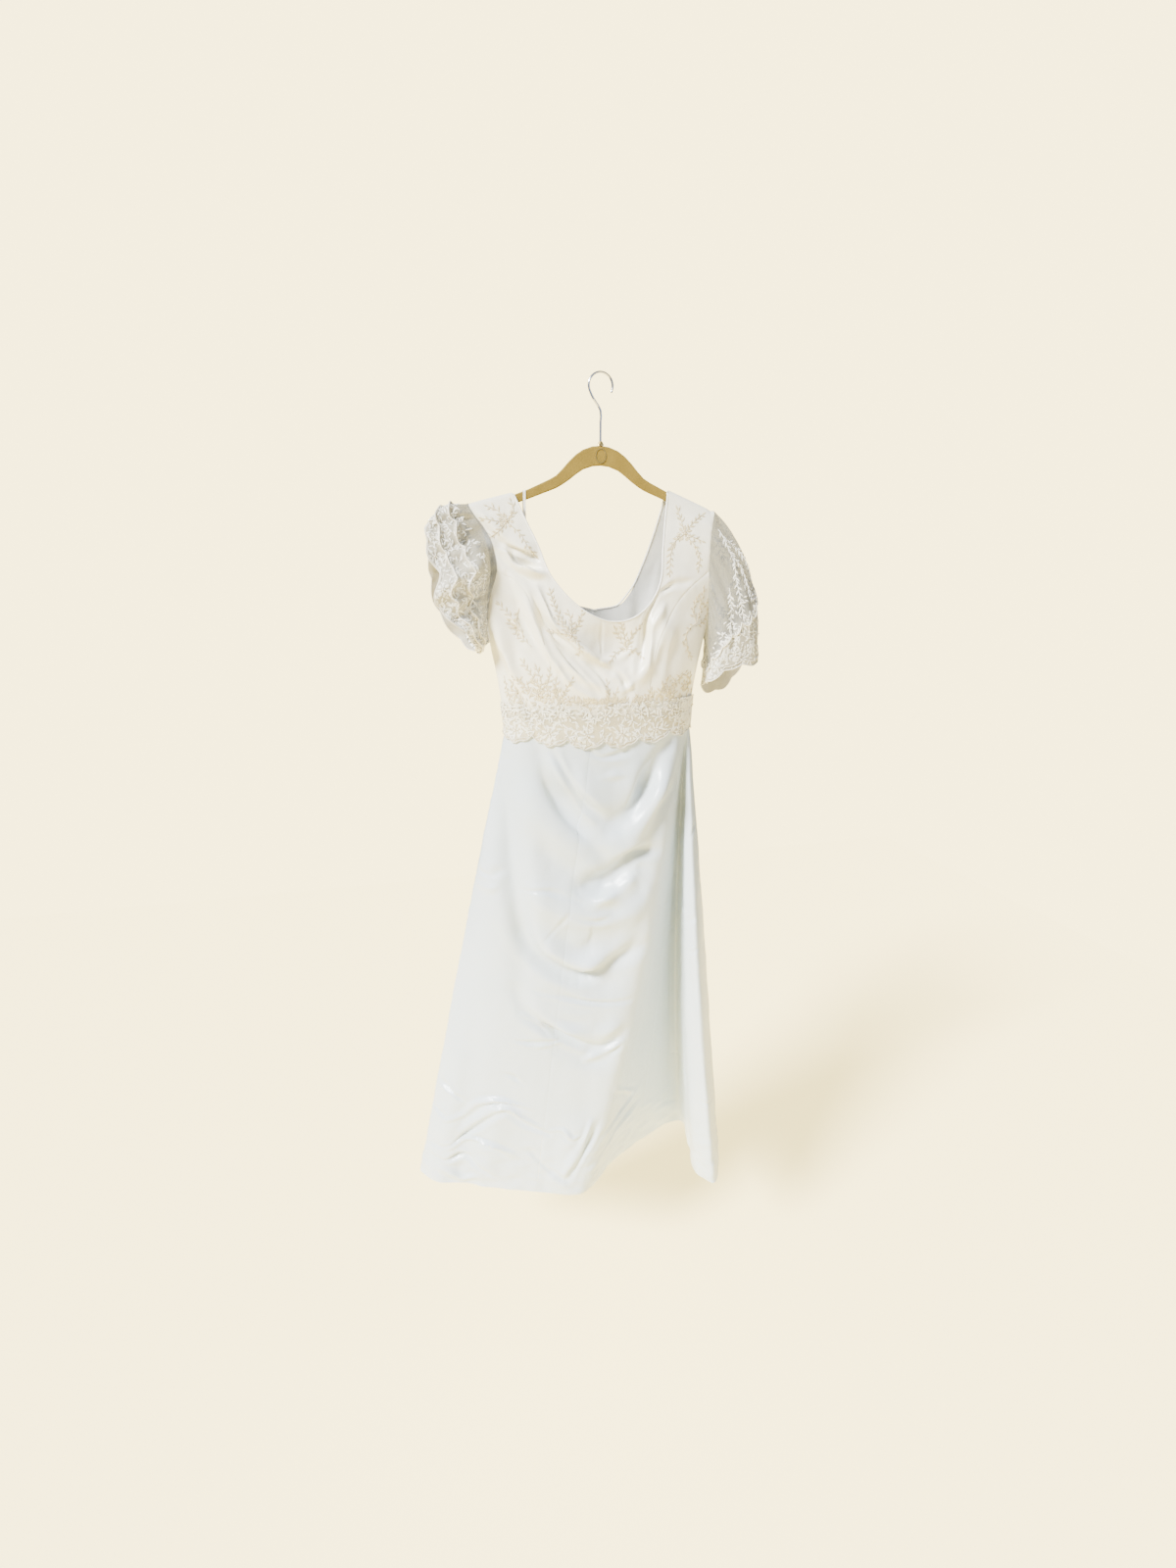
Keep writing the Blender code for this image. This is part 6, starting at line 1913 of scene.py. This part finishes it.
def sleeveEmbroidery(grid, name, style):
    points, normals = grid
    closed = np.concatenate([points, points[:, :1]], axis=1)
    facing = np.concatenate([normals, normals[:, :1]], axis=1)
    grid = closed, facing
    surface = cloth(closed)
    work, beads, cord = newWork(), newWork(), newWork()
    flowers = []
    scallops = sleeves["cuffScallops"]
    for k in range(scallops):
        at, outward = onGrid(grid, 0.86, (k + 0.5) / scallops)
        addFlower(work, beads, surface, at, outward, 0.0135, 0.4)
        flowers.append((at, 0.0135))
    start = style["bandStart"]
    scatterLeaves(work, surface, grid, flowers, (start + 0.12, 0.99), (0, 0.999),
                  style["bandLeaves"], 0.4)
    scatterLeaves(work, surface, grid, flowers, (start - 0.06, start + 0.16), (0, 0.999),
                  style["bandLeaves"] // 5, 0.4)
    for line in style["sprays"]:
        path = spline(line, 7)
        spots = [onGrid(grid, d, r % 1.0) for d, r in path]
        addSpray(work, surface, [s[0] for s in spots], [s[1] for s in spots], 0.35, 1.0)
    lines = [(points[-1 - k] + normals[-1 - k] * 0.0004, r) for k, r in ((0, 0.0011), (2, 0.0008))]
    rounds = np.arange(points.shape[1]) / points.shape[1]
    for down, depth, turns in style["tiers"]:
        spots = down + depth * np.abs(np.sin(rounds * math.pi * turns))
        line = [onGrid(grid, d, r) for d, r in zip(spots, rounds)]
        lines.append((np.array([at + out * 0.0006 for at, out in line]), 0.0013))
    for line, radius in lines:
        rings = tubeRings(line, radius, 6, closed=True)
        ids = np.arange(len(rings) * 6).reshape(-1, 6)
        ids = np.concatenate([ids, ids[:, :1]], axis=1)
        ids = np.concatenate([ids, ids[:1]])
        faces = np.stack([ids[:-1, :-1], ids[:-1, 1:], ids[1:, 1:], ids[1:, :-1]], axis=2)
        maps = np.stack([np.tile(np.arange(6) / 6, len(rings)),
                         np.repeat(np.arange(len(rings)) * 0.003, 6)], axis=1)
        addPart(cord, rings.reshape(-1, 3), [tuple(f) for f in faces.reshape(-1, 4).tolist()],
                maps, 0.5)
    return (finishWork(name + "Floss", work, finishes["sleeveFloss"]),
            finishWork(name + "Beads", beads, finishes["pearl"]),
            finishWork(name + "Cord", cord, finishes["edgeCord"]))


# Build
front = centreFront()
sideLeft, sideRight = sideFront(-1), sideFront(1)
backLeft, backRight = backHalf(-1), backHalf(1)
neckPiping(front, backLeft, backRight)
print("bodice made")
makeSkirt()
print("skirt made")
laceGrids = waistLace()
rightRing = armholeRing(1, front, sideRight, backRight)
leftRing = armholeRing(-1, front, sideLeft, backLeft)
rightSleeve = makeSleeve(1, rightRing, sleeves["rightCuff"], sleeves["rightSleevePuff"],
                         sleeves["rightStyle"], "sleeveRight", "sleeve_right")
leftSleeve = makeSleeve(-1, leftRing, sleeves["leftCuff"], sleeves["leftSleevePuff"],
                        sleeves["leftStyle"], "sleeveLeft", "sleeve_left")
hangingRibbon()
dressHanger()
print("sleeves and hanger made")

frontCloth = cloth(front[0], sideLeft[0], sideRight[0])
backCloth = cloth(backLeft[0], backRight[0])
trims = {
    "bodiceCentreFront": bodiceEmbroidery(frontCloth, -1, embroidery["flowers"],
                                          embroidery["sprays"], "frontEmbroidery"),
    "bodiceBackLeft": bodiceEmbroidery(backCloth, 1, embroidery["backFlowers"],
                                       embroidery["backSprays"], "backEmbroidery"),
    "waistLaceFront": laceEmbroidery(laceGrids[0], "laceFront", 900),
    "waistLaceBack": laceEmbroidery(laceGrids[1], "laceBack", 520),
    "sleeveRight": sleeveEmbroidery(rightSleeve, "sleeveRight", sleeves["rightStyle"]),
    "sleeveLeft": sleeveEmbroidery(leftSleeve, "sleeveLeft", sleeves["leftStyle"]),
}
print("embroidery made")


# Plain pale studio: a floor under the dress, which hangs clear of it
studio = {
    "floorZ": -1.90,
    "floorSize": 5.2,
    "colour": "FFECB4",
    "glow": ("FFE690", 3.0),  # floor lit from below
    # soft sun: direction that it shines, strength, angle in degrees, colour
    "suns": (
        ("key", (1.35, 0.78, -1.20), 15.0, 15.0, "FFFFFF"),
        ("fill", (-1.1, 1.2, -0.1), 0.8, 50.0, "C4D8FF"),
    ),
    "sky": ("E4EDFF", 0.40),
    "backdrop": ("FFEAA6", 6.4),  # what the camera sees past the floor
}


def makeStudio():
    bpy.ops.object.select_all(action="DESELECT")
    bpy.ops.mesh.primitive_plane_add(size=studio["floorSize"],
                                     location=(0, 0, studio["floorZ"]))
    bpy.ops.object.transform_apply(location=True)
    floor = bpy.context.object
    floor.name = "floor"
    glow, strength = studio["glow"]
    made = newFinish("studioFloor", {
        "Base Color": fromHex(studio["colour"]), "Roughness": 0.95,
        "Specular IOR Level": 0.0,
        "Emission Color": fromHex(glow), "Emission Strength": strength,
    })
    floor.data.materials.append(made[0])
    for name, course, strength, angle, colour in studio["suns"]:
        bpy.ops.object.light_add(type="SUN", location=(0.0, -3.0, 1.0))
        lamp = bpy.context.object
        lamp.name = name
        lamp.data.energy = strength
        lamp.data.angle = math.radians(angle)
        lamp.data.color = fromHex(colour)[:3]
        lamp.rotation_euler = Vector(course).to_track_quat("-Z", "Y").to_euler()
    sky = bpy.data.worlds.new("sky")
    sky.use_nodes = True
    tree = sky.node_tree
    light = tree.nodes["Background"]
    light.inputs["Color"].default_value = fromHex(studio["sky"][0])
    light.inputs["Strength"].default_value = studio["sky"][1]
    seen = addNode(tree, "ShaderNodeBackground", {"Color": fromHex(studio["backdrop"][0]),
                                                  "Strength": studio["backdrop"][1]})
    rays = addNode(tree, "ShaderNodeLightPath")
    both = addNode(tree, "ShaderNodeMixShader", None, {0: rays, 1: light, 2: seen})
    tree.links.new(both.outputs[0], tree.nodes["World Output"].inputs["Surface"])
    bpy.context.scene.world = sky


makeStudio()
